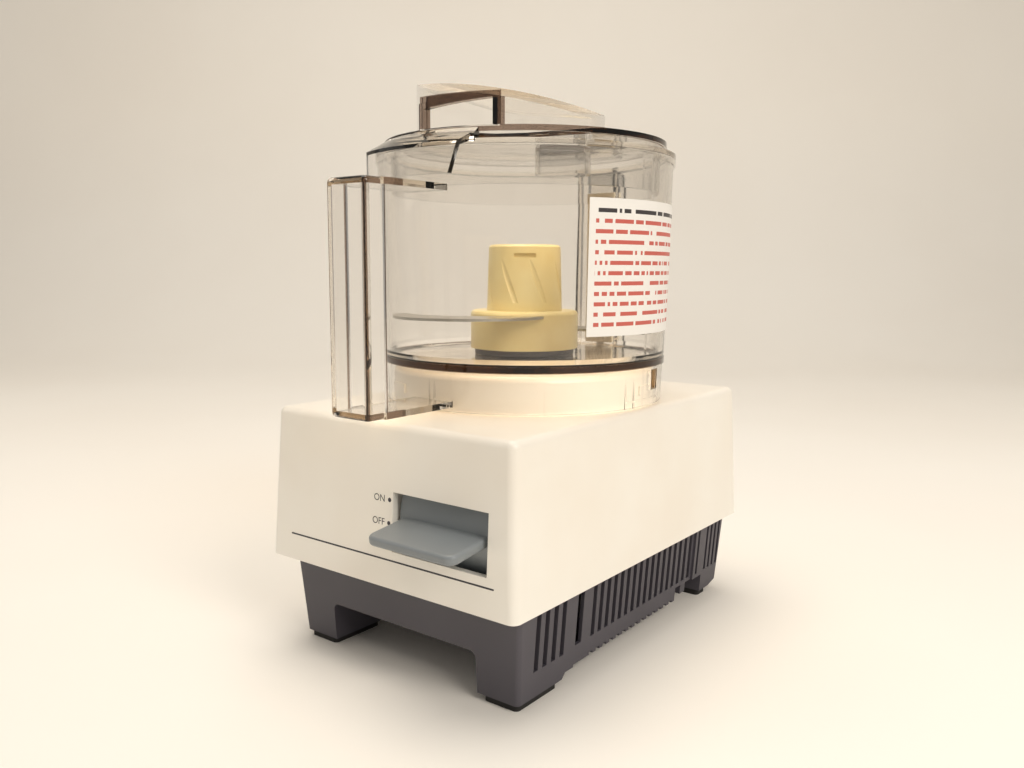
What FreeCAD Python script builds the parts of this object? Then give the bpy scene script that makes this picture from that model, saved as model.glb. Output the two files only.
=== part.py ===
import FreeCAD, Part
import math
import os

from FreeCAD import Rotation, Vector

# Compact food processor: a direct-drive motor base with a rocking switch lever, a clear
# work bowl that lifts off the spindle, a two-blade chopping hub and a clear lid.
# Working frame: +Z up from the table, -Y towards the lever and the bowl handle, the drive
# spindle on x = y = 0. Sizes are millimetres, angles degrees measured from +X towards +Y.

# ---- clearances -------------------------------------------------------------------------
RUN_FIT = 0.05          # radial clearance of a turning or sliding fit
REST_GAP = 0.3          # gap between pieces that rest on each other but come apart
SEAT_GAP = 0.05         # gap between fixed pieces of one body

# ---- motor housing (white ABS shell) ------------------------------------------------------
HOUSING_WIDTH = 138.0   # across X, at the bottom edge
HOUSING_DEPTH = 194.5   # along Y, at the bottom edge
HOUSING_HEIGHT = 66.8
HOUSING_WALL = 2.8
HOUSING_CORNER = 3.6    # vertical corner radius
HOUSING_TOP_ROUND = 3.2 # radius of the top edges
DRAFT_SIDE = 0.046      # inward lean per mm of height
DRAFT_FRONT = 0.050
DRAFT_BACK = 0.028
PLATFORM_RISE = 16.7    # round seat of the bowl above the housing top
PLATFORM_WALL = 2.8
LUG_RISE = 0.6          # bayonet lugs on the platform
LUG_WIDTH = 12.0
LUG_HEIGHT = 4.0
LUG_START = 5.0

# ---- base tray (charcoal ABS) and feet -------------------------------------------------------
FOOT_HEIGHT = 3.0       # rubber showing under a leg
TRAY_HEIGHT = 38.2      # leg bottom to the housing's bottom edge
TRAY_LAP = 5.0          # how far the tray rises inside the housing
TRAY_WALL = 2.8
TRAY_INSET_SIDE = 5.1   # behind the housing's outer edge
TRAY_INSET_FRONT = 9.7
TRAY_INSET_BACK = 3.7
TRAY_DRAFT = 0.075
TRAY_CORNER = 2.0
ARCH_HALF_WIDTH = 41.0  # opening between the legs, front and back
ARCH_RISE = 17.3        # above the leg bottoms
ARCH_ROUND = 3.0
LEG_FACE_FRONT = 40.5   # depth of the corner face over the front leg
LEG_FACE_BACK = 32.0
LEG_DEPTH_FRONT = 34.5  # depth of the leg itself, below the side sill
LEG_DEPTH_BACK = 22.2
LEG_LEAN = 2.7          # the front leg narrows by this much down to its foot
HEEL_LENGTH = 9.0       # bevel under the rear leg's heel
HEEL_RISE = 2.2
SILL_RISE = 2.4         # side sills sit this much above the leg bottoms
SILL_RECESS = 1.2       # and this much behind the corner faces
NOTCH_LENGTH = 26.0     # raised part of the sill ahead of the rear leg
NOTCH_RISE = 9.0
NOTCH_POST = 5.0        # small post standing in the notch
FLOOR_THICKNESS = 2.5
SLOT_WIDTH = 2.9
SLOT_PITCH = 5.6
SLOT_FOOT = 11.0        # slot bottom above the leg bottoms
WIDE_SLOT = 6.6
REAR_SLOT_WIDTH = 2.2
REAR_SLOT_PITCH = 4.5
TOOTH_HEIGHT = 1.3      # notches along the sill's lower edge
FOOT_INSET = 1.4
SCREW_X = 53.5
SCREW_Y = (-29.0, 34.0)
SCREW_RADIUS = 1.85
SCREW_HEAD_RADIUS = 3.5
SCREW_HEAD_HEIGHT = 2.4
POST_RADIUS = 4.5
CORD_HOLE_RADIUS = 5.5
CORD_HOLE_X = -40.0

# ---- switch lever ---------------------------------------------------------------------------
LEVER_CENTRE_X = 30.9
LEVER_OPENING_WIDTH = 48.8
LEVER_OPENING_HEIGHT = 24.2
LEVER_PIVOT_RISE = 27.3     # above the housing's bottom edge
LEVER_PIVOT_INSET = 35.9    # behind the housing's front face
LEVER_SHIELD_GAP = 0.6      # shield to the housing wall
LEVER_SHIELD_THICKNESS = 2.6
LEVER_SHIELD_HALF_ANGLE = 38.0
LEVER_SIDE_GAP = 1.0
LEVER_REACH = 17.4          # paddle tip in front of the housing
LEVER_PADDLE_WIDTH = 44.0
LEVER_PADDLE_THICKNESS = 4.0
LEVER_PADDLE_DROOP = 7.0    # degrees
LEVER_HUB_RADIUS = 4.5
LEVER_PIN_RADIUS = 2.0
FORK_RADIUS = 11.0          # pivot to the switch knob
FORK_GAP = 0.8

# ---- motor ----------------------------------------------------------------------------------
MOTOR_RADIUS = 50.0
MOTOR_RISE = 25.9           # stack's underside above the tray floor
STACK_HEIGHT = 34.0
ROTOR_RADIUS = 25.5
AIR_GAP = 0.5
STATOR_SLOTS = 12
WINDING_INNER = 29.0
WINDING_OUTER = 42.0
WINDING_OVERHANG = 7.0
BRACKET_THICKNESS = 3.0
BRACKET_RIM = 6.0
BOLT_CIRCLE = 47.0
BOLT_RADIUS = 2.0
SHAFT_RADIUS = 5.0
SHAFT_FLAT = 3.6            # flat's distance from the shaft's axis
BEARING_OUTER_RADIUS = 13.0
BEARING_WIDTH = 8.0
FAN_RADIUS = 36.0
FAN_HEIGHT = 6.0
FAN_BLADES = 9
MOUNT_SPREAD = 36.0
MOUNT_HEIGHT = 6.0
SEAL_RADIUS = 12.0

# ---- work bowl ------------------------------------------------------------------------------
BOWL_GAP = 1.2              # skirt above the housing top
SKIRT_RADIUS = 64.9
SKIRT_HEIGHT = 17.0
SKIRT_WALL = 2.3
FLOOR_RADIUS = 66.1
BOWL_FLOOR = 2.5
BOWL_RADIUS_LOW = 65.8
BOWL_RADIUS_RIM = 69.0
BOWL_HEIGHT = 108.0         # skirt bottom to rim
BOWL_WALL = 2.5
BEAD_HEIGHT = 2.5
TUBE_RADIUS = 11.0
TUBE_WALL = 3.0
TUBE_RISE = 32.0            # above the bowl's floor
HANDLE_HALF_WIDTH = 10.8
HANDLE_REACH = 112.1        # spindle to the grip's outer face
HANDLE_DEPTH = 10.4
HANDLE_WALL = 2.6
HANDLE_FOOT = 2.0           # above the skirt's bottom
HANDLE_DROP = 14.8          # grip's top below the rim
HANDLE_ROUND = 2.6          # corners of the grip's outer face
HANDLE_EDGE = 2.0           # its top and bottom edges
CHANNEL_HALF_WIDTH = 13.0   # interlock channel at the back
CHANNEL_WALL = 2.3
CHANNEL_DEPTH = 7.0
CHANNEL_SHELF = 1.7         # shelf the rod's spring stands on
LABEL_START = 329.0
LABEL_ANGLE = 61.0
LABEL_BOTTOM = 32.0         # above the skirt's bottom
LABEL_DROP = 20.0           # label's top below the rim
LABEL_THICKNESS = 0.25

# ---- chopping blades --------------------------------------------------------------------------
HUB_RADIUS_TOP = 16.9
HUB_RADIUS_LOW = 17.8
HUB_TOP_RISE = 51.0         # above the bowl's floor
FLANGE_RADIUS = 25.4
FLANGE_TOP_RISE = 20.6
HUB_RING_RADIUS = 23.5
HUB_RING_HEIGHT = 2.6
HUB_FLOOR_GAP = 0.4
HUB_GROOVES = 8
BLADE_THICKNESS = 1.2
BLADE_CLEARANCE = 1.4       # tip to bowl wall
LOWER_BLADE_RISE = 9.0
UPPER_BLADE_RISE = 17.6

# ---- lid --------------------------------------------------------------------------------------
LID_RADIUS = 64.8
LID_RISE = 7.8              # disc's top above the bowl rim
LID_WALL = 2.3
LID_FLANGE = 2.0
LID_PLUG_RADIUS = 62.1      # skirt inside the bowl
LID_PLUG_WALL = 2.0
LID_PLUG_DEPTH = 14.7
HOOD_START = 244.0          # locking hood over the handle
HOOD_ANGLE = 46.0
HOOD_RADIUS = 76.5
HOOD_DROP = 7.3
HOOD_DEPTH = 12.0
CHUTE_LEFT = (-7.5, -61.0)
CHUTE_BENDS = ((13.2, -38.0), (25.1, -32.7))
CHUTE_END_ANGLE = 336.0
CHUTE_SLOPE = (-0.0763, -0.2263)
CHUTE_CENTRE_HEIGHT = 3.1
MOUTH_LEFT = -3.5
MOUTH_RIGHT = 28.0
MOUTH_HEIGHTS = (8.0, 10.6)
LIP = 2.3
CUP_PLACE = (14.0, 10.6)
CUP_RADIUS = 13.0
CUP_DEPTH = 11.0

# ---- interlock ----------------------------------------------------------------------------------
ROD_Y = 72.8
ROD_STEM_RADIUS = 2.0
ROD_BAR_HALF_WIDTH = 9.0
ROD_BAR_THICKNESS = 4.4
ROD_RIBS = 8
BUTTON_RADIUS = 3.0
BUTTON_TRAVEL = 4.0
TONGUE_LENGTH = 9.0         # lid tongue that holds the rod down

# ---- heights that follow ---------------------------------------------------------------------
LEG_Z = FOOT_HEIGHT
HOUSING_Z = LEG_Z + TRAY_HEIGHT
HOUSING_TOP = HOUSING_Z + HOUSING_HEIGHT
PLATFORM_TOP = HOUSING_TOP + PLATFORM_RISE
TRAY_TOP = HOUSING_Z + TRAY_LAP
TRAY_FLOOR = LEG_Z + ARCH_RISE
TRAY_FLOOR_TOP = TRAY_FLOOR + FLOOR_THICKNESS
STACK_BOTTOM = TRAY_FLOOR_TOP + MOTOR_RISE
SILL_Z = LEG_Z + SILL_RISE
ROOF_UNDER = HOUSING_TOP - HOUSING_WALL
PIVOT_Z = HOUSING_Z + LEVER_PIVOT_RISE
FRONT_AT_PIVOT = -HOUSING_DEPTH / 2 + DRAFT_FRONT * LEVER_PIVOT_RISE
PIVOT_Y = FRONT_AT_PIVOT + LEVER_PIVOT_INSET
SHIELD_RADIUS = LEVER_PIVOT_INSET - HOUSING_WALL - LEVER_SHIELD_GAP
STACK_TOP = STACK_BOTTOM + STACK_HEIGHT
LOWER_PLATE_Z = STACK_BOTTOM - WINDING_OVERHANG - BRACKET_THICKNESS
UPPER_PLATE_Z = STACK_TOP + WINDING_OVERHANG + BRACKET_THICKNESS
SKIRT_Z = HOUSING_TOP + BOWL_GAP
BOWL_FLOOR_Z = SKIRT_Z + SKIRT_HEIGHT
BOWL_FLOOR_TOP = BOWL_FLOOR_Z + BOWL_FLOOR
RIM_Z = SKIRT_Z + BOWL_HEIGHT
TUBE_TOP = BOWL_FLOOR_TOP + TUBE_RISE
HUB_TOP = BOWL_FLOOR_TOP + HUB_TOP_RISE
SHAFT_TOP = HUB_TOP - 2.5
SHAFT_BOTTOM = TRAY_FLOOR_TOP + 1.9
LID_TOP = RIM_Z + LID_RISE
LID_UNDER = LID_TOP - LID_WALL
ROD_FOOT_Z = HOUSING_TOP + 0.9
ROD_SHELF_Z = ROD_FOOT_Z + BUTTON_TRAVEL + 0.6
ROD_SHELF_TOP = ROD_SHELF_Z + CHANNEL_SHELF
ROD_BAR_Z = ROD_SHELF_TOP + 13.0
ROD_TOP = RIM_Z - TONGUE_LENGTH


# ---- helpers ------------------------------------------------------------------------------------
def box(x0, x1, y0, y1, z0, z1):
    return Part.makeBox(x1 - x0, y1 - y0, z1 - z0, Vector(x0, y0, z0))


def disc(radius, z0, z1, x=0.0, y=0.0):
    return Part.makeCylinder(radius, z1 - z0, Vector(x, y, z0))


def ring(outer, inner, z0, z1, x=0.0, y=0.0):
    return disc(outer, z0, z1, x, y).cut(disc(inner, z0 - 1, z1 + 1, x, y))


def bar_x(radius, x0, x1, y, z):
    return Part.makeCylinder(radius, x1 - x0, Vector(x0, y, z), Vector(1, 0, 0))


def polar(radius, degrees, z=0.0):
    angle = math.radians(degrees)
    return Vector(radius * math.cos(angle), radius * math.sin(angle), z)


def revolve(points, start=0.0, sweep=360.0):
    """Turn a closed (radius, z) outline about the spindle axis."""
    corners = [Vector(radius, 0, z) for radius, z in points]
    face = Part.Face(Part.makePolygon(corners + [corners[0]]))
    solid = face.revolve(Vector(0, 0, 0), Vector(0, 0, 1), sweep)
    solid.rotate(Vector(0, 0, 0), Vector(0, 0, 1), start)
    return solid


def prism(points, direction, place=Vector(0, 0, 0)):
    """Extrude a closed outline of 3-D points along a direction."""
    corners = [Vector(*point) for point in points]
    face = Part.Face(Part.makePolygon(corners + [corners[0]]))
    solid = face.extrude(direction)
    solid.translate(place)
    return solid


def round_rectangle(x0, x1, y0, y1, z, radius):
    """Closed wire of a rectangle with rounded corners."""
    turn = radius * (1 - math.sqrt(0.5))
    sides = [
        (Vector(x0 + radius, y0, z), Vector(x1 - radius, y0, z)),
        (Vector(x1, y0 + radius, z), Vector(x1, y1 - radius, z)),
        (Vector(x1 - radius, y1, z), Vector(x0 + radius, y1, z)),
        (Vector(x0, y1 - radius, z), Vector(x0, y0 + radius, z)),
    ]
    middles = [
        Vector(x1 - turn, y0 + turn, z),
        Vector(x1 - turn, y1 - turn, z),
        Vector(x0 + turn, y1 - turn, z),
        Vector(x0 + turn, y0 + turn, z),
    ]
    edges = []
    for number, (start, end) in enumerate(sides):
        after = sides[(number + 1) % 4][0]
        edges.append(Part.makeLine(start, end))
        edges.append(Part.Arc(end, middles[number], after).toShape())
    return Part.Wire(edges)


def tapered_block(low, high, z0, z1, radius):
    """Solid between two rounded rectangles, each (x0, x1, y0, y1)."""
    wires = [round_rectangle(*low, z0, radius), round_rectangle(*high, z1, radius)]
    return Part.makeLoft(wires, True, True)


def coil(radius, wire, z0, z1, turns, steps=20, sides=8):
    """Helical spring along Z between two heights, bent from short straight runs."""
    pitch = (z1 - z0 - wire) / turns
    points = [polar(radius, 360.0 * number / steps, z0 + wire / 2 + pitch * number / steps)
              for number in range(int(round(turns * steps)) + 1)]
    along = (points[1] - points[0]).normalize()
    outward = Vector(1, 0, 0) - along * along.x
    across = along.cross(outward)
    rim = []
    for number in range(sides):
        angle = 2 * math.pi * number / sides
        rim.append(points[0] + outward * (wire / 2 * math.cos(angle)) + across * (wire / 2 * math.sin(angle)))
    profile = Part.Wire(Part.makePolygon(rim + [rim[0]]))
    return Part.Wire(Part.makePolygon(points)).makePipeShell([profile], True, False, 1)


def around(shape, count, start=0.0):
    """Copies of a shape, evenly spaced about the spindle axis."""
    copies = []
    for number in range(count):
        copy = shape.copy()
        copy.rotate(Vector(0, 0, 0), Vector(0, 0, 1), start + number * 360.0 / count)
        copies.append(copy)
    return copies


def mirrored(shape):
    return shape.mirror(Vector(0, 0, 0), Vector(1, 0, 0))


# ---- housing ------------------------------------------------------------------------------------
def housing_outline(z, inset=0.0):
    """Housing's rectangle at a height, drawn in by an inset."""
    rise = z - HOUSING_Z
    half_x = HOUSING_WIDTH / 2 - DRAFT_SIDE * rise - inset
    front = -HOUSING_DEPTH / 2 + DRAFT_FRONT * rise + inset
    back = HOUSING_DEPTH / 2 - DRAFT_BACK * rise - inset
    return (-half_x, half_x, front, back)


def housing_skin():
    outer = tapered_block(housing_outline(HOUSING_Z), housing_outline(HOUSING_TOP),
                          HOUSING_Z, HOUSING_TOP, HOUSING_CORNER)
    top_edges = [edge for edge in outer.Edges
                 if abs(edge.BoundBox.ZMin - HOUSING_TOP) < 1e-4]
    outer = outer.makeFillet(HOUSING_TOP_ROUND, top_edges)
    inner = tapered_block(housing_outline(HOUSING_Z - 1, HOUSING_WALL),
                          housing_outline(ROOF_UNDER, HOUSING_WALL),
                          HOUSING_Z - 1, ROOF_UNDER, HOUSING_CORNER - HOUSING_WALL + 0.6)
    return outer, inner


def lever_opening():
    half = LEVER_OPENING_WIDTH / 2
    return box(LEVER_CENTRE_X - half, LEVER_CENTRE_X + half,
               -HOUSING_DEPTH, FRONT_AT_PIVOT + 2 * HOUSING_WALL,
               PIVOT_Z - LEVER_OPENING_HEIGHT / 2, PIVOT_Z + LEVER_OPENING_HEIGHT / 2)


def platform_radius():
    return SKIRT_RADIUS - SKIRT_WALL - REST_GAP - LUG_RISE - 0.2


def bowl_seat():
    radius = platform_radius()
    seat = disc(radius, ROOF_UNDER, PLATFORM_TOP)
    rim = [edge for edge in seat.Edges if abs(edge.BoundBox.ZMin - PLATFORM_TOP) < 1e-4]
    seat = seat.makeFillet(PLATFORM_WALL, rim)
    lug = box(radius - 1, radius + LUG_RISE, -LUG_WIDTH / 2, LUG_WIDTH / 2,
              HOUSING_TOP + 6, HOUSING_TOP + 6 + LUG_HEIGHT)
    return seat.fuse(around(lug, 3, LUG_START))


def lever_ears():
    """Two ribs inside the housing that carry the lever's pin and the switch."""
    half = LEVER_OPENING_WIDTH / 2
    low = PIVOT_Z - 14
    high = PIVOT_Z + 14
    front = FRONT_AT_PIVOT + HOUSING_WALL - 1.5
    left = box(LEVER_CENTRE_X - half - 3.5, LEVER_CENTRE_X - half - 1.0, front, PIVOT_Y + 6, low, high)
    right = box(LEVER_CENTRE_X + half + 1.0, LEVER_CENTRE_X + half + 3.5, front, PIVOT_Y + 24, low, high)
    return [left, right]


def switch_screw_places():
    """(y, z) of the two screws that hold the switch on the right ear."""
    return [(PIVOT_Y + 16.0, PIVOT_Z - 6.5), (PIVOT_Y + 22.0, PIVOT_Z + 6.5)]


def housing():
    outer, inner = housing_skin()
    radius = platform_radius()
    shell = outer.fuse(bowl_seat()).cut(inner)
    shell = shell.cut(disc(radius - PLATFORM_WALL, ROOF_UNDER - 1, PLATFORM_TOP - PLATFORM_WALL))
    posts = []
    for x in (-SCREW_X, SCREW_X):
        for y in SCREW_Y:
            posts.append(disc(POST_RADIUS, TRAY_TOP + SEAT_GAP, ROOF_UNDER + 1, x, y))
    rib_x = ROD_BAR_HALF_WIDTH + 2.0
    ribs = [box(side * rib_x - 1, side * rib_x + 1, ROD_Y - 7, ROD_Y + 7, ROOF_UNDER - 24, ROOF_UNDER + 1)
            for side in (-1, 1)]
    shell = shell.fuse(posts + lever_ears() + ribs)
    cuts = [lever_opening(), disc(SEAL_RADIUS + SEAT_GAP, PLATFORM_TOP - 6, PLATFORM_TOP + 1)]
    cuts.append(disc(BUTTON_RADIUS + RUN_FIT, ROOF_UNDER - 1, HOUSING_TOP + 1, 0, ROD_Y))
    for x in (-SCREW_X, SCREW_X):
        for y in SCREW_Y:
            cuts.append(disc(SCREW_RADIUS + SEAT_GAP, TRAY_TOP - 1, TRAY_TOP + 22, x, y))
    pin_end = LEVER_CENTRE_X + LEVER_OPENING_WIDTH / 2 + 5
    cuts.append(bar_x(LEVER_PIN_RADIUS + SEAT_GAP, LEVER_CENTRE_X - LEVER_OPENING_WIDTH / 2 - 5, pin_end,
                      PIVOT_Y, PIVOT_Z))
    for y, z in switch_screw_places():
        cuts.append(bar_x(1.5 + SEAT_GAP, LEVER_CENTRE_X + LEVER_OPENING_WIDTH / 2, pin_end, y, z))
    return shell.cut(cuts)


# ---- base tray -----------------------------------------------------------------------------------
def tray_outline(z, inset=0.0):
    drop = HOUSING_Z - z
    half_x = HOUSING_WIDTH / 2 - TRAY_INSET_SIDE - TRAY_DRAFT * drop - inset
    front = -HOUSING_DEPTH / 2 + TRAY_INSET_FRONT + TRAY_DRAFT * drop + inset
    back = HOUSING_DEPTH / 2 - TRAY_INSET_BACK - TRAY_DRAFT * drop - inset
    return (-half_x, half_x, front, back)


def tray_block(inset, z0, z1):
    radius = max(TRAY_CORNER - inset, 1.0)
    return tapered_block(tray_outline(z0, inset), tray_outline(z1, inset), z0, z1, radius)


def tray_stations():
    """Y of the front corner face's end, the sill's end and the rear corner face's start."""
    _, _, front, back = tray_outline(HOUSING_Z)
    rear_leg = back - LEG_DEPTH_BACK
    return front + LEG_FACE_FRONT, rear_leg - NOTCH_LENGTH, back - LEG_FACE_BACK


def leg_stations():
    """Y of the front leg's back at the sill, and of the rear leg's front."""
    _, _, front, back = tray_outline(HOUSING_Z)
    return front + LEG_DEPTH_FRONT, back - LEG_DEPTH_BACK


def slot_row(start, count, pitch, width):
    return [(start + number * pitch, start + number * pitch + width) for number in range(count)]


def sill_slots():
    """Vent slots over the side sill, as (y0, y1) pairs."""
    front_face, _, rear_face = tray_stations()
    start = front_face + WIDE_SLOT + 7.2
    count = int((rear_face - 1.5 - SLOT_WIDTH - start) / SLOT_PITCH) + 1
    return slot_row(start, count, SLOT_PITCH, SLOT_WIDTH)


def side_slots(shell_x):
    """Vent slots of one side wall, and the teeth under its sill."""
    front_face, sill_end, rear_face = tray_stations()
    _, rear_leg = leg_stations()
    slots = slot_row(front_face - 11.2 - 3 * 5.9, 4, 5.9, SLOT_WIDTH)
    slots.append((front_face + 0.2, front_face + WIDE_SLOT))
    slots += sill_slots()
    slots.append((rear_leg - 7.4, rear_leg - 7.4 + REAR_SLOT_WIDTH))
    slots += slot_row(rear_leg + 2.2, 4, REAR_SLOT_PITCH, REAR_SLOT_WIDTH)
    cuts = [box(shell_x, HOUSING_WIDTH / 2 + 1, low, high, LEG_Z + SLOT_FOOT, HOUSING_Z - 0.5)
            for low, high in slots]
    for low, high in sill_slots():
        if high < sill_end:
            cuts.append(box(shell_x, HOUSING_WIDTH / 2 + 1, low, high, LEG_Z, SILL_Z + TOOTH_HEIGHT))
    return cuts


def arch_cutter():
    arch = box(-ARCH_HALF_WIDTH, ARCH_HALF_WIDTH, -HOUSING_DEPTH, HOUSING_DEPTH, LEG_Z - 20, TRAY_FLOOR)
    edges = [edge for edge in arch.Edges
             if abs(edge.BoundBox.ZMin - TRAY_FLOOR) < 1e-4 and edge.BoundBox.YLength > HOUSING_DEPTH]
    return arch.makeFillet(ARCH_ROUND, edges)


def tray_cavity():
    """Space inside the tray: above the floor, and down into the legs and sills."""
    _, sill_end, _ = tray_stations()
    front_leg, rear_leg = leg_stations()
    heel = tray_outline(LEG_Z)[3] - HEEL_LENGTH
    wide = HOUSING_WIDTH
    deep = HOUSING_DEPTH
    inner_x = ARCH_HALF_WIDTH + TRAY_WALL
    parts = [box(-wide, wide, -deep, deep, TRAY_FLOOR_TOP, TRAY_TOP + 1)]
    for low, high, floor in (
        (-deep, front_leg - LEG_LEAN - TRAY_WALL, LEG_Z),
        (front_leg - LEG_LEAN - TRAY_WALL - 1, sill_end - TRAY_WALL, SILL_Z),
        (sill_end - TRAY_WALL - 1, rear_leg + TRAY_WALL + 1, LEG_Z + NOTCH_RISE),
        (rear_leg + TRAY_WALL, heel, LEG_Z),
        (heel - 1, deep, LEG_Z + HEEL_RISE),
    ):
        parts.append(box(inner_x, wide, low, high, floor + FLOOR_THICKNESS, TRAY_TOP + 1))
        parts.append(box(-wide, -inner_x, low, high, floor + FLOOR_THICKNESS, TRAY_TOP + 1))
    space = parts[0].fuse(parts[1:])
    return space.common(tray_block(TRAY_WALL, LEG_Z - 1, TRAY_TOP + 1))


def sill_trims():
    """What is taken off below the side sills, the notches and the rear heels."""
    _, sill_end, _ = tray_stations()
    front_leg, rear_leg = leg_stations()
    back = tray_outline(LEG_Z)[3]
    wide = HOUSING_WIDTH
    under_sill = [(0, front_leg, SILL_Z), (0, sill_end, SILL_Z), (0, sill_end, LEG_Z - 1),
                  (0, front_leg - LEG_LEAN, LEG_Z - 1)]
    heel = [(0, back - HEEL_LENGTH, LEG_Z - 0.01), (0, back + 9, LEG_Z + HEEL_RISE * 2),
            (0, back + 9, LEG_Z - 1), (0, back - HEEL_LENGTH, LEG_Z - 1)]
    post = box(-wide, wide, sill_end + 5.5, sill_end + 5.5 + NOTCH_POST, SILL_Z + 2, HOUSING_Z)
    notch = box(-wide, wide, sill_end, rear_leg, LEG_Z - 1, LEG_Z + NOTCH_RISE).cut(post)
    trims = [prism(under_sill, Vector(wide, 0, 0)), prism(heel, Vector(wide, 0, 0)), notch]
    trims += [mirrored(trim) for trim in trims[:2]]
    middle = box(-ARCH_HALF_WIDTH, ARCH_HALF_WIDTH, -wide, wide, LEG_Z - 2, HOUSING_Z)
    return [trim.cut(middle) for trim in trims]


def base_tray():
    front_face, _, rear_face = tray_stations()
    wide = HOUSING_WIDTH
    tray = tray_block(0.0, LEG_Z, TRAY_TOP).cut(arch_cutter())
    band = box(-wide, wide, front_face, rear_face, LEG_Z - 1, HOUSING_Z)
    band = band.cut(tray_block(SILL_RECESS, LEG_Z - 2, TRAY_TOP + 1))
    tray = tray.cut(sill_trims() + [band]).cut(tray_cavity())
    lap = tapered_block(housing_outline(HOUSING_Z + 0.3, HOUSING_WALL + REST_GAP),
                        housing_outline(HOUSING_Z + 2.3, HOUSING_WALL + REST_GAP),
                        HOUSING_Z + 0.3, HOUSING_Z + 2.3, HOUSING_CORNER - HOUSING_WALL + 0.6)
    lap = lap.cut(tray_block(TRAY_WALL, HOUSING_Z, HOUSING_Z + 3))
    posts = []
    for x in (-SCREW_X, SCREW_X):
        for y in SCREW_Y:
            posts.append(disc(POST_RADIUS, SILL_Z + 1, TRAY_TOP, x, y))
    tray = tray.fuse([lap] + posts)
    slots = side_slots(ARCH_HALF_WIDTH + TRAY_WALL + 6)
    cuts = slots + [mirrored(slot) for slot in slots]
    for x in (-SCREW_X, SCREW_X):
        for y in SCREW_Y:
            cuts.append(disc(SCREW_RADIUS + SEAT_GAP, LEG_Z, TRAY_TOP + 1, x, y))
            cuts.append(disc(SCREW_HEAD_RADIUS + 0.3, LEG_Z, TRAY_FLOOR_TOP, x, y))
    for x in (-1, 1):
        for y in foot_places():
            cuts.append(disc(2.5 + SEAT_GAP, LEG_Z - 1, LEG_Z + FLOOR_THICKNESS + 1, x * foot_x(), y))
    half = LEVER_OPENING_WIDTH / 2 + 2
    front = tray_outline(TRAY_TOP)[2]
    cuts.append(box(LEVER_CENTRE_X - half, LEVER_CENTRE_X + half, front - 5, front + TRAY_WALL + 3,
                    HOUSING_Z + 2.3, TRAY_TOP + 1))
    cuts.append(Part.makeCylinder(CORD_HOLE_RADIUS + SEAT_GAP, 20,
                                  Vector(CORD_HOLE_X, tray_outline(HOUSING_Z)[3] - 12, cord_z()),
                                  Vector(0, 1, 0)))
    inlet = box(14, FAN_RADIUS - 4, -1.5, 1.5, TRAY_FLOOR - 1, TRAY_FLOOR_TOP + 1)
    return tray.cut(cuts + around(inlet, 12))


def cord_z():
    return TRAY_FLOOR_TOP + 10.0


def foot_x():
    return (ARCH_HALF_WIDTH + tray_outline(LEG_Z)[1]) / 2


def foot_spans():
    """Y range of the front and the rear pad."""
    _, _, front, back = tray_outline(LEG_Z)
    front_leg, rear_leg = leg_stations()
    return ((front + FOOT_INSET, front_leg - LEG_LEAN - FOOT_INSET + 0.6),
            (rear_leg + FOOT_INSET - 0.6, back - HEEL_LENGTH - 0.4))


def foot_places():
    return [(low + high) / 2 for low, high in foot_spans()]


def rubber_feet():
    """Four pads pressed into the leg bottoms by a stem."""
    outline = tray_outline(LEG_Z)
    pads = []
    for side in (-1, 1):
        for (low, high), y in zip(foot_spans(), foot_places()):
            x0, x1 = sorted((side * (ARCH_HALF_WIDTH + 2), side * (outline[1] - FOOT_INSET)))
            pad = box(x0, x1, low, high, 0, FOOT_HEIGHT - SEAT_GAP)
            uprights = [edge for edge in pad.Edges if edge.BoundBox.ZLength > 1]
            pad = pad.makeFillet(2.0, uprights)
            stem = disc(2.5, FOOT_HEIGHT - 1, LEG_Z + FLOOR_THICKNESS + 1.5, side * foot_x(), y)
            pads.append(pad.fuse(stem))
    return Part.makeCompound(pads)


def base_screws():
    screws = []
    for x in (-SCREW_X, SCREW_X):
        for y in SCREW_Y:
            head = disc(SCREW_HEAD_RADIUS, TRAY_FLOOR_TOP - SCREW_HEAD_HEIGHT - SEAT_GAP,
                        TRAY_FLOOR_TOP - SEAT_GAP, x, y)
            cross = [box(x - 2.2, x + 2.2, y - 0.4, y + 0.4, TRAY_FLOOR, TRAY_FLOOR + 1.3),
                     box(x - 0.4, x + 0.4, y - 2.2, y + 2.2, TRAY_FLOOR, TRAY_FLOOR + 1.3)]
            shank = disc(SCREW_RADIUS, TRAY_FLOOR_TOP - 1, TRAY_TOP + 20, x, y)
            screws.append(head.fuse(shank).cut(cross))
    return Part.makeCompound(screws)


def cord_grommet():
    """Rubber bush in the rear wall where the mains lead enters."""
    back = tray_outline(cord_z())[3]
    start = Vector(CORD_HOLE_X, back - TRAY_WALL - 2.8, cord_z())
    body = Part.makeCylinder(CORD_HOLE_RADIUS, TRAY_WALL + 5, start, Vector(0, 1, 0))
    inner = Part.makeCylinder(CORD_HOLE_RADIUS + 1.5, 2.0, start, Vector(0, 1, 0))
    outer = Part.makeCylinder(CORD_HOLE_RADIUS + 1.5, 2.0, Vector(CORD_HOLE_X, back + 0.7, cord_z()),
                              Vector(0, 1, 0))
    bore = Part.makeCylinder(3.4, 30, start - Vector(0, 5, 0), Vector(0, 1, 0))
    return body.fuse([inner, outer]).cut(bore)


# ---- motor ---------------------------------------------------------------------------------------
def foot_posts(z0, z1, radius):
    return [disc(radius, z0, z1, x * MOUNT_SPREAD, y * MOUNT_SPREAD) for x in (-1, 1) for y in (-1, 1)]


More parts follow.
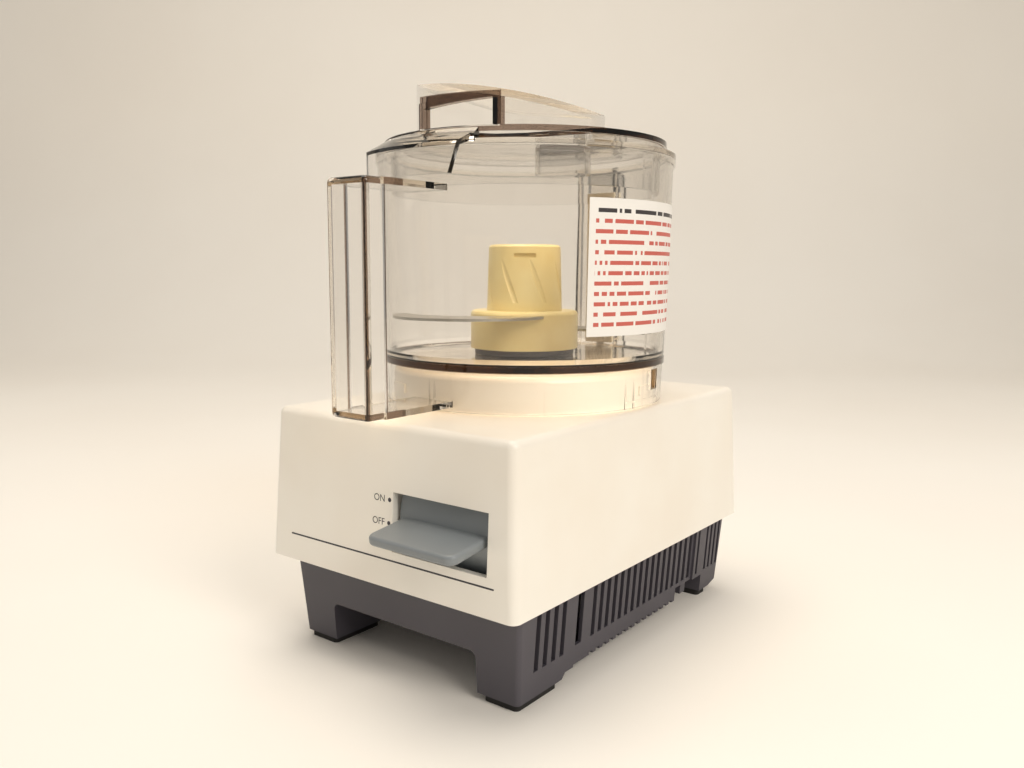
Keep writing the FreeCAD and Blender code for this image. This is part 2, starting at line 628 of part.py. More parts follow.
def motor_mounts():
    """Four rubber bushes between the tray floor and the lower bracket."""
    top = TRAY_FLOOR_TOP + MOUNT_HEIGHT
    bushes = [bush.cut(disc(2.0, TRAY_FLOOR_TOP - 1, top + 1, bush.CenterOfMass.x, bush.CenterOfMass.y))
              for bush in foot_posts(TRAY_FLOOR_TOP + SEAT_GAP, top - SEAT_GAP, 6.5)]
    return Part.makeCompound(bushes)


def bolt_holes(z0, z1):
    return around(disc(BOLT_RADIUS + SEAT_GAP, z0, z1, BOLT_CIRCLE), 4)


def lower_bearing_z():
    return LOWER_PLATE_Z - 3.0


def upper_bearing_z():
    return UPPER_PLATE_Z - 3.0


def motor_lower_bracket():
    top = STACK_BOTTOM - SEAT_GAP
    plate = disc(MOTOR_RADIUS, LOWER_PLATE_Z, LOWER_PLATE_Z + BRACKET_THICKNESS)
    rim = ring(MOTOR_RADIUS, MOTOR_RADIUS - BRACKET_RIM, LOWER_PLATE_Z, top)
    boss = disc(BEARING_OUTER_RADIUS + 3, lower_bearing_z() - 1, lower_bearing_z() + BEARING_WIDTH)
    feet = foot_posts(TRAY_FLOOR_TOP + MOUNT_HEIGHT, LOWER_PLATE_Z + 1, 5.0)
    body = plate.fuse([rim, boss] + feet)
    cuts = bolt_holes(LOWER_PLATE_Z - 1, top + 1)
    cuts.append(disc(BEARING_OUTER_RADIUS + SEAT_GAP, lower_bearing_z(), lower_bearing_z() + 20))
    cuts.append(disc(BEARING_OUTER_RADIUS - 3, lower_bearing_z() - 2, lower_bearing_z() + 1))
    vent = disc(6.0, LOWER_PLATE_Z - 1, LOWER_PLATE_Z + BRACKET_THICKNESS + 1, 30)
    return body.cut(cuts + around(vent, 6, 30.0))


def motor_upper_bracket():
    plate = disc(MOTOR_RADIUS, UPPER_PLATE_Z - BRACKET_THICKNESS, UPPER_PLATE_Z)
    rim = ring(MOTOR_RADIUS, MOTOR_RADIUS - BRACKET_RIM, STACK_TOP + SEAT_GAP, UPPER_PLATE_Z)
    boss = disc(BEARING_OUTER_RADIUS + 3, upper_bearing_z(), upper_bearing_z() + BEARING_WIDTH + 1)
    body = plate.fuse([rim, boss])
    cuts = bolt_holes(STACK_TOP - 1, UPPER_PLATE_Z + 1)
    cuts.append(disc(BEARING_OUTER_RADIUS + SEAT_GAP, upper_bearing_z() - 10,
                     upper_bearing_z() + BEARING_WIDTH))
    cuts.append(disc(BEARING_OUTER_RADIUS - 3, upper_bearing_z(), upper_bearing_z() + 20))
    vent = disc(6.0, STACK_TOP, UPPER_PLATE_Z + 1, 30)
    return body.cut(cuts + around(vent, 6, 30.0))


def stator_core():
    """Laminated stack with slots open towards the rotor."""
    bore = ROTOR_RADIUS + AIR_GAP
    stack = ring(MOTOR_RADIUS, bore, STACK_BOTTOM, STACK_TOP)
    slot = box(WINDING_INNER, WINDING_OUTER, -3.0, 3.0, STACK_BOTTOM - 1, STACK_TOP + 1)
    mouth = box(bore - 1, WINDING_INNER + 1, -1.0, 1.0, STACK_BOTTOM - 1, STACK_TOP + 1)
    cuts = around(slot.fuse(mouth), STATOR_SLOTS)
    return stack.cut(cuts + bolt_holes(STACK_BOTTOM - 1, STACK_TOP + 1))


def stator_windings():
    """End turns above and below the stack, joined through its slots."""
    lower = ring(WINDING_OUTER, WINDING_INNER, STACK_BOTTOM - WINDING_OVERHANG + 0.6, STACK_BOTTOM - 0.3)
    upper = ring(WINDING_OUTER, WINDING_INNER, STACK_TOP + 0.3, STACK_TOP + WINDING_OVERHANG - 0.6)
    side = 3.0 - 0.3
    leg = box(WINDING_INNER + 0.3, WINDING_OUTER - 0.3, -side, side, STACK_BOTTOM - 1, STACK_TOP + 1)
    return lower.fuse([upper] + around(leg, STATOR_SLOTS))


def motor_bolts():
    bolts = []
    for place in around(disc(BOLT_RADIUS, LOWER_PLATE_Z - SEAT_GAP, UPPER_PLATE_Z + 4, BOLT_CIRCLE), 4):
        x = place.CenterOfMass.x
        y = place.CenterOfMass.y
        head = disc(3.5, LOWER_PLATE_Z - 3, LOWER_PLATE_Z - SEAT_GAP, x, y)
        nut = disc(3.5, UPPER_PLATE_Z + SEAT_GAP, UPPER_PLATE_Z + 3, x, y)
        bolts.append(place.fuse([head, nut]))
    return Part.makeCompound(bolts)


def bearing(z, bore):
    """Ball bearing drawn as its two races with shields."""
    body = ring(BEARING_OUTER_RADIUS, bore, z, z + BEARING_WIDTH)
    middle = (BEARING_OUTER_RADIUS + bore) / 2
    grooves = [ring(middle + 1.5, middle - 1.5, z - 1, z + 0.6),
               ring(middle + 1.5, middle - 1.5, z + BEARING_WIDTH - 0.6, z + BEARING_WIDTH + 1)]
    return body.cut(grooves)


def motor_shaft():
    """Ground steel spindle with a flat where the blade hub sits."""
    shaft = disc(SHAFT_RADIUS, SHAFT_BOTTOM, SHAFT_TOP)
    tip = [edge for edge in shaft.Edges if abs(edge.BoundBox.ZMin - SHAFT_TOP) < 1e-4]
    shaft = shaft.makeChamfer(0.8, tip)
    return shaft.cut(box(SHAFT_FLAT, SHAFT_RADIUS + 1, -9, 9, PLATFORM_TOP + 4, SHAFT_TOP + 1))


def rotor_core():
    """Squirrel-cage rotor with cast end rings and cooling fins."""
    core = disc(ROTOR_RADIUS, STACK_BOTTOM, STACK_TOP)
    rings = [ring(ROTOR_RADIUS - 1.5, ROTOR_RADIUS - 8, STACK_BOTTOM - 3, STACK_BOTTOM + 1),
             ring(ROTOR_RADIUS - 1.5, ROTOR_RADIUS - 8, STACK_TOP - 1, STACK_TOP + 3)]
    fin = box(ROTOR_RADIUS - 7, ROTOR_RADIUS - 2, -0.8, 0.8, STACK_TOP + 2, STACK_TOP + 5)
    body = core.fuse(rings + around(fin, 8))
    return body.cut(disc(SHAFT_RADIUS + 0.02, STACK_BOTTOM - 9, STACK_TOP + 9))


def cooling_fan():
    low = TRAY_FLOOR_TOP + 3.0
    hub = disc(10.0, low, low + FAN_HEIGHT)
    plate = disc(FAN_RADIUS, low + FAN_HEIGHT - 1.2, low + FAN_HEIGHT)
    blade = box(8, FAN_RADIUS, -0.7, 0.7, low, low + FAN_HEIGHT - 0.5)
    body = hub.fuse([plate] + around(blade, FAN_BLADES))
    return body.cut(disc(SHAFT_RADIUS + 0.02, low - 1, low + FAN_HEIGHT + 1))


def shaft_seal():
    """Lip seal pressed into the top of the bowl seat."""
    low = PLATFORM_TOP - PLATFORM_WALL
    return ring(SEAL_RADIUS, SHAFT_RADIUS + 0.3, low, PLATFORM_TOP + 1.2)


def run_capacitor():
    start = Vector(-26, 70, TRAY_FLOOR_TOP + 22)
    can = Part.makeCylinder(14, 52, start, Vector(1, 0, 0))
    ends = [edge for edge in can.Edges if edge.BoundBox.XLength < 1e-4]
    can = can.makeFillet(1.5, ends)
    tab = box(26, 32, 66, 67, TRAY_FLOOR_TOP + 20, TRAY_FLOOR_TOP + 24)
    return can.fuse([tab, tab.translated(Vector(0, 7, 0))])


def capacitor_clamp():
    """Steel strap over the capacitor, with two feet on the tray floor."""
    centre = Vector(-8, 70, TRAY_FLOOR_TOP + 22)
    strap = Part.makeCylinder(15.2, 12, centre, Vector(1, 0, 0))
    legs = box(-8, 4, 70 - 15.2, 70 + 15.2, TRAY_FLOOR_TOP + SEAT_GAP, TRAY_FLOOR_TOP + 22)
    feet = box(-8, 4, 48.5, 70 + 16.8, TRAY_FLOOR_TOP + SEAT_GAP, TRAY_FLOOR_TOP + 1.2)
    hollow = Part.makeCylinder(14 + SEAT_GAP, 20, centre - Vector(4, 0, 0), Vector(1, 0, 0))
    gap = box(-9, 5, 70 - 14, 70 + 14, TRAY_FLOOR_TOP - 1, TRAY_FLOOR_TOP + 22)
    return strap.fuse([legs, feet]).cut([hollow, gap])


def terminal_block():
    body = box(-46, -34, 52, 74, TRAY_FLOOR_TOP + SEAT_GAP, TRAY_FLOOR_TOP + 9)
    wells = [disc(1.8, TRAY_FLOOR_TOP + 4, TRAY_FLOOR_TOP + 10, -40, 56 + 7 * number) for number in range(3)]
    return body.cut(wells)


# ---- lever and switch ----------------------------------------------------------------------------
def lever_span():
    half = LEVER_OPENING_WIDTH / 2 - LEVER_SIDE_GAP
    return LEVER_CENTRE_X - half, LEVER_CENTRE_X + half


def lever_sector(radius, half_angle, x0, x1):
    """Wedge of a cylinder about the pin, facing the front."""
    low = math.radians(180 - half_angle)
    rim_low = Vector(x0, PIVOT_Y + radius * math.cos(low), PIVOT_Z - radius * math.sin(low))
    rim_mid = Vector(x0, PIVOT_Y - radius, PIVOT_Z)
    rim_high = Vector(x0, rim_low.y, 2 * PIVOT_Z - rim_low.z)
    pin = Vector(x0, PIVOT_Y, PIVOT_Z)
    edges = [Part.makeLine(pin, rim_low), Part.Arc(rim_low, rim_mid, rim_high).toShape(),
             Part.makeLine(rim_high, pin)]
    return Part.Face(Part.Wire(edges)).extrude(Vector(x1 - x0, 0, 0))


def lever_paddle():
    """Finger paddle, rounded all round and drooping towards its tip."""
    tip = LEVER_PIVOT_INSET + LEVER_REACH
    root = SHIELD_RADIUS - 1.5
    half = LEVER_PADDLE_WIDTH / 2
    paddle = box(LEVER_CENTRE_X - half, LEVER_CENTRE_X + half, PIVOT_Y - tip, PIVOT_Y - root,
                 PIVOT_Z - LEVER_PADDLE_THICKNESS / 2, PIVOT_Z + LEVER_PADDLE_THICKNESS / 2)
    corners = [edge for edge in paddle.Edges
               if edge.BoundBox.ZLength > 1 and edge.BoundBox.YMax < PIVOT_Y - root - 1]
    paddle = paddle.makeFillet(4.0, corners)
    rims = [edge for edge in paddle.Edges
            if edge.BoundBox.ZLength < 1e-4 and edge.BoundBox.YMin < PIVOT_Y - root - 1]
    paddle = paddle.makeFillet(1.4, rims)
    paddle.rotate(Vector(0, PIVOT_Y - root, PIVOT_Z), Vector(1, 0, 0), LEVER_PADDLE_DROOP)
    return paddle


def switch_lever():
    x0, x1 = lever_span()
    shield = lever_sector(SHIELD_RADIUS, LEVER_SHIELD_HALF_ANGLE, x0, x1)
    hollow = Part.makeCylinder(SHIELD_RADIUS - LEVER_SHIELD_THICKNESS, x1 - x0 + 2,
                               Vector(x0 - 1, PIVOT_Y, PIVOT_Z), Vector(1, 0, 0))
    shield = shield.cut(hollow)
    hub_start = x0 + 7.0
    webs = [lever_sector(SHIELD_RADIUS - 1, 18.0, start, start + 2.2)
            for start in (hub_start, (x0 + x1) / 2, x1 - 2.2)]
    hub = bar_x(LEVER_HUB_RADIUS, hub_start, x1, PIVOT_Y, PIVOT_Z)
    knob = switch_knob_size()
    tail = box(x1 - 7.5, x1 - 3.5, PIVOT_Y, PIVOT_Y + FORK_RADIUS + 1.2,
               PIVOT_Z - knob / 2 - FORK_GAP - 1.8, PIVOT_Z + knob / 2 + FORK_GAP + 1.8)
    fork = box(x1 - 8, x1 - 3, PIVOT_Y + FORK_RADIUS - knob, PIVOT_Y + FORK_RADIUS + 3,
               PIVOT_Z - knob / 2 - FORK_GAP, PIVOT_Z + knob / 2 + FORK_GAP)
    body = shield.fuse(webs + [hub, tail, lever_paddle()])
    bore = bar_x(LEVER_PIN_RADIUS + RUN_FIT, x0 - 1, x1 + 1, PIVOT_Y, PIVOT_Z)
    return body.cut([bore, fork])


def switch_knob_size():
    return 3.0


def lever_pin():
    half = LEVER_OPENING_WIDTH / 2
    return bar_x(LEVER_PIN_RADIUS, LEVER_CENTRE_X - half - 4.5, LEVER_CENTRE_X + half + 4.5, PIVOT_Y, PIVOT_Z)


def lever_spring():
    """Return coil on the pin, beside the lever's hub."""
    x0 = lever_span()[0]
    spring = coil(3.4, 0.8, 0.0, 5.6, 4)
    spring.rotate(Vector(0, 0, 0), Vector(0, 1, 0), 90)
    spring.translate(Vector(x0 + 0.8, PIVOT_Y, PIVOT_Z))
    return spring


def switch_back_y():
    return PIVOT_Y + FORK_RADIUS + 2.2


def slide_switch():
    """Three-position slide switch screwed to the right-hand ear."""
    x1 = LEVER_CENTRE_X + LEVER_OPENING_WIDTH / 2 + 1.0 - SEAT_GAP
    front = switch_back_y()
    body = box(x1 - 13, x1, front, front + 12, PIVOT_Z - 10, PIVOT_Z + 10)
    knob_x = lever_span()[1] - 5.5
    slot = box(knob_x - 2.0, knob_x + 2.0, front - 1, front + 4.4, PIVOT_Z - 5.5, PIVOT_Z + 5.5)
    holes = [bar_x(1.5 + SEAT_GAP, x1 - 20, x1 + 1, y, z) for y, z in switch_screw_places()]
    return body.cut([slot] + holes)


def switch_actuator():
    knob = switch_knob_size()
    knob_x = lever_span()[1] - 5.5
    front = switch_back_y()
    stem = box(knob_x - 1.5, knob_x + 1.5, PIVOT_Y + FORK_RADIUS - knob / 2, front + 4.0,
               PIVOT_Z - knob / 2, PIVOT_Z + knob / 2)
    return stem


def switch_screws():
    x1 = LEVER_CENTRE_X + LEVER_OPENING_WIDTH / 2 + 1.0
    screws = []
    for y, z in switch_screw_places():
        shank = bar_x(1.5, x1 - 13, x1 + 2.3, y, z)
        head = bar_x(2.6, x1 - 14.6, x1 - 13 - SEAT_GAP * 2, y, z)
        screws.append(shank.fuse(head))
    return Part.makeCompound(screws)


# ---- interlock -----------------------------------------------------------------------------------
def interlock_button():
    """Pin through the housing top that the bowl's rod holds down."""
    low = ROOF_UNDER - 11.5
    stem = disc(BUTTON_RADIUS, low, ROD_FOOT_Z - REST_GAP, 0, ROD_Y)
    collar = disc(BUTTON_RADIUS + 2.5, ROOF_UNDER - BUTTON_TRAVEL - 3.0, ROOF_UNDER - BUTTON_TRAVEL - 1.0,
                  0, ROD_Y)
    return stem.fuse(collar)


def button_spring():
    top = ROOF_UNDER - BUTTON_TRAVEL - 3.0 - SEAT_GAP
    spring = coil(BUTTON_RADIUS + 1.2, 0.7, ROOF_UNDER - 12.6, top, 3.5)
    spring.translate(Vector(0, ROD_Y, 0))
    return spring


def interlock_switch():
    """Microswitch held between two ribs under the housing top."""
    top = ROOF_UNDER - 12.8
    half = ROD_BAR_HALF_WIDTH + 1.0 - SEAT_GAP
    body = box(-half, half, ROD_Y - 6, ROD_Y + 6, top - 11, top)
    plunger = disc(1.5, top - 1, top + 0.9, 0, ROD_Y)
    return body.fuse(plunger)


def interlock_rod():
    """Ribbed flat bar in the bowl's rear channel, with a round stem below."""
    stem = disc(ROD_STEM_RADIUS, ROD_FOOT_Z, ROD_BAR_Z + 1, 0, ROD_Y)
    half = ROD_BAR_THICKNESS / 2
    bar = box(-ROD_BAR_HALF_WIDTH, ROD_BAR_HALF_WIDTH, ROD_Y - half, ROD_Y + half, ROD_BAR_Z, ROD_TOP)
    pitch = 2 * ROD_BAR_HALF_WIDTH / ROD_RIBS
    grooves = []
    for number in range(ROD_RIBS - 1):
        x = -ROD_BAR_HALF_WIDTH + (number + 1) * pitch
        for y in (ROD_Y - half - 1, ROD_Y + half - 0.7):
            grooves.append(box(x - 0.45, x + 0.45, y, y + 1.7, ROD_BAR_Z + 2, ROD_TOP - 2))
    return stem.fuse(bar).cut(grooves)


def rod_spring():
    spring = coil(ROD_STEM_RADIUS + 0.8, 0.6, ROD_SHELF_TOP + SEAT_GAP, ROD_BAR_Z - SEAT_GAP, 5)
    spring.translate(Vector(0, ROD_Y, 0))
    return spring


# ---- work bowl -----------------------------------------------------------------------------------
def bowl_radius(z):
    """Outer wall radius at a height."""
    share = (z - BOWL_FLOOR_Z) / (RIM_Z - BOWL_FLOOR_Z)
    return BOWL_RADIUS_LOW + (BOWL_RADIUS_RIM - 0.8 - BOWL_RADIUS_LOW) * share


def bowl_outside():
    return revolve([(0, SKIRT_Z), (SKIRT_RADIUS, SKIRT_Z), (BOWL_RADIUS_LOW - 0.4, BOWL_FLOOR_Z),
                    (FLOOR_RADIUS, BOWL_FLOOR_Z), (FLOOR_RADIUS, BOWL_FLOOR_TOP),
                    (bowl_radius(BOWL_FLOOR_TOP), BOWL_FLOOR_TOP),
                    (bowl_radius(RIM_Z - BEAD_HEIGHT), RIM_Z - BEAD_HEIGHT),
                    (BOWL_RADIUS_RIM, RIM_Z - BEAD_HEIGHT), (BOWL_RADIUS_RIM, RIM_Z), (0, RIM_Z)])


def bowl_inside():
    step = 3.0
    wall = bowl_radius(BOWL_FLOOR_TOP) - BOWL_WALL
    return revolve([(0, BOWL_FLOOR_TOP), (wall - step, BOWL_FLOOR_TOP),
                    (wall - 0.3 * step, BOWL_FLOOR_TOP + 0.3 * step), (wall, BOWL_FLOOR_TOP + step),
                    (bowl_radius(RIM_Z) - BOWL_WALL, RIM_Z + 1), (0, RIM_Z + 1)])


def bowl_tube(grow=0.0):
    return disc(TUBE_RADIUS + grow, BOWL_FLOOR_Z, TUBE_TOP + grow)


def skirt_inside():
    return disc(SKIRT_RADIUS - SKIRT_WALL, SKIRT_Z - 1, BOWL_FLOOR_Z)


def bowl_handle():
    """U-section grip, open towards the bowl, with a plate at the top and the foot."""
    z0 = SKIRT_Z + HANDLE_FOOT
    z1 = RIM_Z - HANDLE_DROP
    half = HANDLE_HALF_WIDTH
    grip = box(-half, half, -HANDLE_REACH, -HANDLE_REACH + HANDLE_DEPTH, z0, z1)
    rims = [edge for edge in grip.Edges if edge.BoundBox.ZLength > 10
            and edge.BoundBox.YMax < -HANDLE_REACH + 1]
    grip = grip.makeFillet(HANDLE_ROUND, rims)
    ends = [edge for edge in grip.Edges if edge.BoundBox.ZLength < 1e-4
            and edge.BoundBox.YMin < -HANDLE_REACH + HANDLE_DEPTH - 1
            and edge.BoundBox.YMax < -HANDLE_REACH + HANDLE_ROUND + 0.01]
    grip = grip.makeFillet(HANDLE_EDGE, ends)
    arms = [box(-half, half, -HANDLE_REACH + HANDLE_DEPTH - 1, -BOWL_RADIUS_LOW + 4, z, z + HANDLE_WALL)
            for z in (z0, z1 - HANDLE_WALL)]
    hollow = box(-half + HANDLE_WALL, half - HANDLE_WALL, -HANDLE_REACH + HANDLE_WALL,
                 -HANDLE_REACH + HANDLE_DEPTH + 1, z0 + HANDLE_WALL, z1 - HANDLE_WALL)
    return grip.cut(hollow).fuse(arms)


def channel_front():
    return BOWL_RADIUS_RIM + 0.3


def channel_back():
    return channel_front() + CHANNEL_DEPTH


def rod_channel():
    """Housing moulded on the bowl's back for the interlock rod."""
    half = CHANNEL_HALF_WIDTH
    block = box(-half, half, SKIRT_RADIUS - SKIRT_WALL - 4, channel_back() + CHANNEL_WALL, SKIRT_Z, RIM_Z)
    corners = [edge for edge in block.Edges if edge.BoundBox.ZLength > 10
               and edge.BoundBox.YMin > channel_back()]
    return block.makeFillet(2.0, corners)


def channel_space():
    half = CHANNEL_HALF_WIDTH - CHANNEL_WALL
    space = box(-half, half, channel_front(), channel_back(), ROD_SHELF_TOP, RIM_Z + 1)
    guide = disc(ROD_STEM_RADIUS + 0.3, SKIRT_Z - 1, ROD_SHELF_TOP + 1, 0, ROD_Y)
    pocket = disc(BUTTON_RADIUS + 0.4, SKIRT_Z - 1, ROD_SHELF_Z, 0, ROD_Y)
    return space.fuse([guide, pocket])


def lock_window():
    """Slot in the skirt that takes a bayonet lug, with its ramp rib."""
    low = SKIRT_Z + 6.5
    window = box(SKIRT_RADIUS - 6, SKIRT_RADIUS + 6, 4, 12, low, low + 9)
    window.rotate(Vector(0, 0, 0), Vector(0, 0, 1), 2.0)
    return window


def lock_foot():
    """Flat rib under the lock window."""
    outer = SKIRT_RADIUS + 0.4
    inner = SKIRT_RADIUS - 1.0
    low = SKIRT_Z + 2.6
    return revolve([(inner, low), (outer, low), (outer, low + 0.8), (inner, low + 0.8)], 348.3, 24.0)


def skirt_ribs():
    ribs = []
    for angle in (268.6, 271.2, 314.3, 348.3, 353.1, 30.0, 150.0, 190.0, 230.0):
        rib = box(SKIRT_RADIUS - 1.0, SKIRT_RADIUS + 0.4, -0.4, 0.4, SKIRT_Z, BOWL_FLOOR_Z + 0.5)
        rib.rotate(Vector(0, 0, 0), Vector(0, 0, 1), angle)
        ribs.append(rib)
    return ribs


def work_bowl():
    body = bowl_outside().fuse([bowl_handle(), rod_channel(), lock_foot()] + skirt_ribs())
    body = body.cut([bowl_inside(), skirt_inside(), channel_space()])
    body = body.fuse(bowl_tube())
    return body.cut([disc(TUBE_RADIUS - TUBE_WALL, SKIRT_Z, TUBE_TOP + 1), lock_window()])


def bowl_label():
    """Thin plain sticker on the bowl's right side."""
    low = SKIRT_Z + LABEL_BOTTOM
    high = RIM_Z - LABEL_DROP
    inner_low = bowl_radius(low) + SEAT_GAP
    inner_high = bowl_radius(high) + SEAT_GAP
    return revolve([(inner_low, low), (inner_low + LABEL_THICKNESS, low),
                    (inner_high + LABEL_THICKNESS, high), (inner_high, high)],
                   LABEL_START, LABEL_ANGLE)


# ---- chopping hub --------------------------------------------------------------------------------
def hub_bottom():
    return BOWL_FLOOR_TOP + HUB_FLOOR_GAP + HUB_RING_HEIGHT


def blade_tip_radius():
    return bowl_radius(BOWL_FLOOR_TOP + LOWER_BLADE_RISE) - BOWL_WALL - BLADE_CLEARANCE


def blade(rise, turn):
    """Sickle blade, sharpened along its outer edge."""
    tip = blade_tip_radius()
    root = FLANGE_RADIUS - 7
    low = BOWL_FLOOR_TOP + rise
    start = polar(root, 345, low)
    end = polar(tip, 222, low)
    heel = polar(tip - 6, 216, low)
    inner = polar(root, 290, low)
    edges = [Part.Arc(start, polar(0.78 * tip, 285, low), end).toShape(),
             Part.makeLine(end, heel),
             Part.Arc(heel, polar(0.56 * tip, 258, low), inner).toShape(),
             Part.makeLine(inner, start)]
    plate = Part.Face(Part.Wire(edges)).extrude(Vector(0, 0, BLADE_THICKNESS))
    plate = plate.common(disc(tip, low - 1, low + BLADE_THICKNESS + 1))
    plate.rotate(Vector(0, 0, 0), Vector(0, 0, 1), turn)
    return plate


def upper_blade():
    return blade(UPPER_BLADE_RISE, 0.0)


def lower_blade():
    return blade(LOWER_BLADE_RISE, 180.0)


def hub_grooves():
    """Slanted finger grooves round the hub's neck."""
    low = BOWL_FLOOR_TOP + FLANGE_TOP_RISE + 4
    high = HUB_TOP - 5
    radius = HUB_RADIUS_LOW + 0.5
    groove = Part.makeCylinder(1.6, high - low + 6, Vector(0, 0, -3), Vector(0, 0, 1))
    groove.rotate(Vector(0, 0, (high - low) / 2), Vector(1, 0, 0), 22)
    groove.translate(Vector(radius, 0, low))
    band = ring(radius + 4, HUB_RADIUS_TOP - 1.4, low, high)
    return [cut.common(band) for cut in around(groove, HUB_GROOVES, 10.0)]


def blade_hub():
    bottom = hub_bottom()
    shoulder = BOWL_FLOOR_TOP + FLANGE_TOP_RISE
    outer = revolve([(0, bottom), (FLANGE_RADIUS, bottom), (FLANGE_RADIUS, shoulder - 1.5),
                     (FLANGE_RADIUS - 0.5, shoulder - 0.5), (FLANGE_RADIUS - 1.5, shoulder),
                     (HUB_RADIUS_LOW, shoulder), (HUB_RADIUS_TOP, HUB_TOP - 1),
                     (HUB_RADIUS_TOP - 1, HUB_TOP), (0, HUB_TOP)])
    space = disc(TUBE_RADIUS + 1.0, bottom - 1, TUBE_TOP + 1.5)
    drive = disc(SHAFT_RADIUS + RUN_FIT, TUBE_TOP, SHAFT_TOP + 0.5)
    drive = drive.cut(box(SHAFT_FLAT + RUN_FIT * 2, SHAFT_RADIUS + 2, -9, 9, TUBE_TOP + 1.5, HUB_TOP))
    slot = box(HUB_RADIUS_TOP - 2, HUB_RADIUS_TOP + 2, -5, 5, HUB_TOP - 6, HUB_TOP - 4)
    slot.rotate(Vector(0, 0, 0), Vector(0, 0, 1), 307.0)
    cuts = [space, drive, slot, upper_blade(), lower_blade()]
    return outer.cut(cuts + hub_grooves())


def hub_ring():
    """Dark wear ring under the hub."""
    low = BOWL_FLOOR_TOP + HUB_FLOOR_GAP
    return ring(HUB_RING_RADIUS, TUBE_RADIUS + 1.5, low, hub_bottom() - SEAT_GAP)


# ---- lid -----------------------------------------------------------------------------------------
def chute_plan(inset=0.0):
    """Outline of the sloped chute cover: two bends and the lid's rim."""
    end = polar(LID_RADIUS, CHUTE_END_ANGLE)
    start_angle = math.degrees(math.atan2(CHUTE_LEFT[1], CHUTE_LEFT[0])) % 360
    start = polar(LID_RADIUS, start_angle)
    bends = [Vector(x, y, 0) for x, y in CHUTE_BENDS]
    edges = [Part.makeLine(start, bends[0]), Part.makeLine(bends[0], bends[1]),
             Part.makeLine(bends[1], end),
             Part.Arc(end, polar(LID_RADIUS, (CHUTE_END_ANGLE + start_angle) / 2), start).toShape()]
    wire = Part.Wire(edges)
    if inset:
        wire = wire.makeOffset2D(-inset)
    return Part.Face(wire)


def under_roof(drop):
    """Half-space below the chute's sloped roof, as a large block."""
    slope_x, slope_y = CHUTE_SLOPE
    reach = 2 * LID_RADIUS
    base = LID_TOP + CHUTE_CENTRE_HEIGHT - drop
    corners = [(x, y, base + slope_x * x + slope_y * y)
               for x, y in ((-reach, -reach), (reach, -reach), (reach, reach), (-reach, reach))]
    block = prism(corners, Vector(0, 0, -200))
    return block


def chute(inset, drop, z0):
    column = chute_plan(inset).extrude(Vector(0, 0, 60))
    column.translate(Vector(0, 0, z0))
    return column.common(under_roof(drop))


def mouth_prism(grow, y0, y1):
    """Opening at the chute's front, a little higher on its right."""
    low = LID_TOP - grow
    left = LID_TOP + MOUTH_HEIGHTS[0] + grow
    right = LID_TOP + MOUTH_HEIGHTS[1] + grow
    points = [(MOUTH_LEFT - grow, y0, low), (MOUTH_RIGHT + grow, y0, low),
              (MOUTH_RIGHT + grow, y0, right), (MOUTH_LEFT - grow, y0, left)]
    return prism(points, Vector(0, y1 - y0, 0))


def mouth_lip():
    frame = mouth_prism(LIP, -LID_RADIUS - 8, -LID_RADIUS + 16)
    band = ring(LID_RADIUS + 0.8, LID_RADIUS - LID_WALL, LID_TOP - 0.5, LID_TOP + 40)
    return frame.common(band)


def hood():
    """Skirt over the handle that locks the lid, sloped like a spout."""
    top = LID_TOP
    edge = top - HOOD_DROP
    foot = edge - HOOD_DEPTH
    wall = LID_WALL
    body = revolve([(LID_RADIUS - wall, top - 0.2), (LID_RADIUS - 0.5, top - 0.2), (HOOD_RADIUS, edge),
                    (HOOD_RADIUS, foot), (HOOD_RADIUS - wall, foot), (HOOD_RADIUS - wall, edge - 1.2),
                    (LID_RADIUS - wall, top - wall - 1.5)], HOOD_START, HOOD_ANGLE)
    lean = 0.33
    points = [(24.0, -90, top + 1), (24.0 - lean * (top + 1 - foot), -90, foot - 1),
              (60.0, -90, foot - 1), (60.0, -90, top + 1)]
    slanted_end = prism(points, Vector(0, 90 - LID_RADIUS - 1.5, 0))
    return body.cut(slanted_end)


def lid_tongue():
    """Tongue at the back that reaches into the rod channel."""
    half = ROD_BAR_HALF_WIDTH - 0.6
    thick = ROD_BAR_THICKNESS / 2
    flange_low = RIM_Z + REST_GAP
    ear = box(-half - 2, half + 2, LID_RADIUS - 3, channel_back(), flange_low, flange_low + LID_FLANGE)
    tongue = box(-half, half, ROD_Y - thick, ROD_Y + thick, ROD_TOP + REST_GAP, flange_low + 1)
    return [ear, tongue]


def lid():
    flange_low = RIM_Z + REST_GAP
    wall_outer = LID_RADIUS - 0.8
    wall_inner = wall_outer - LID_WALL
    plug_low = RIM_Z - LID_PLUG_DEPTH
    disc_part = disc(LID_RADIUS, LID_UNDER, LID_TOP)
    wall = ring(wall_outer, wall_inner, flange_low, LID_UNDER + 0.5)
    flange = ring(BOWL_RADIUS_RIM, wall_inner, flange_low, flange_low + LID_FLANGE)
    plug = ring(LID_PLUG_RADIUS, LID_PLUG_RADIUS - LID_PLUG_WALL, plug_low, flange_low + LID_FLANGE)
    cup = ring(CUP_RADIUS, CUP_RADIUS - 2.0, LID_UNDER - CUP_DEPTH, LID_UNDER + 0.5, *CUP_PLACE)
    body = disc_part.fuse([wall, flange, plug, cup, chute(0.0, 0.0, LID_UNDER), hood()] + lid_tongue())
    body = body.cut(chute(LID_WALL, LID_WALL, LID_UNDER - 5))
    body = body.fuse(mouth_lip())
    front_wall = ring(LID_RADIUS + 9, LID_RADIUS - LID_WALL - 0.6, LID_TOP - 1, LID_TOP + 40)
    return body.cut(mouth_prism(0.0, -LID_RADIUS - 9, -LID_RADIUS + 17).common(front_wall))


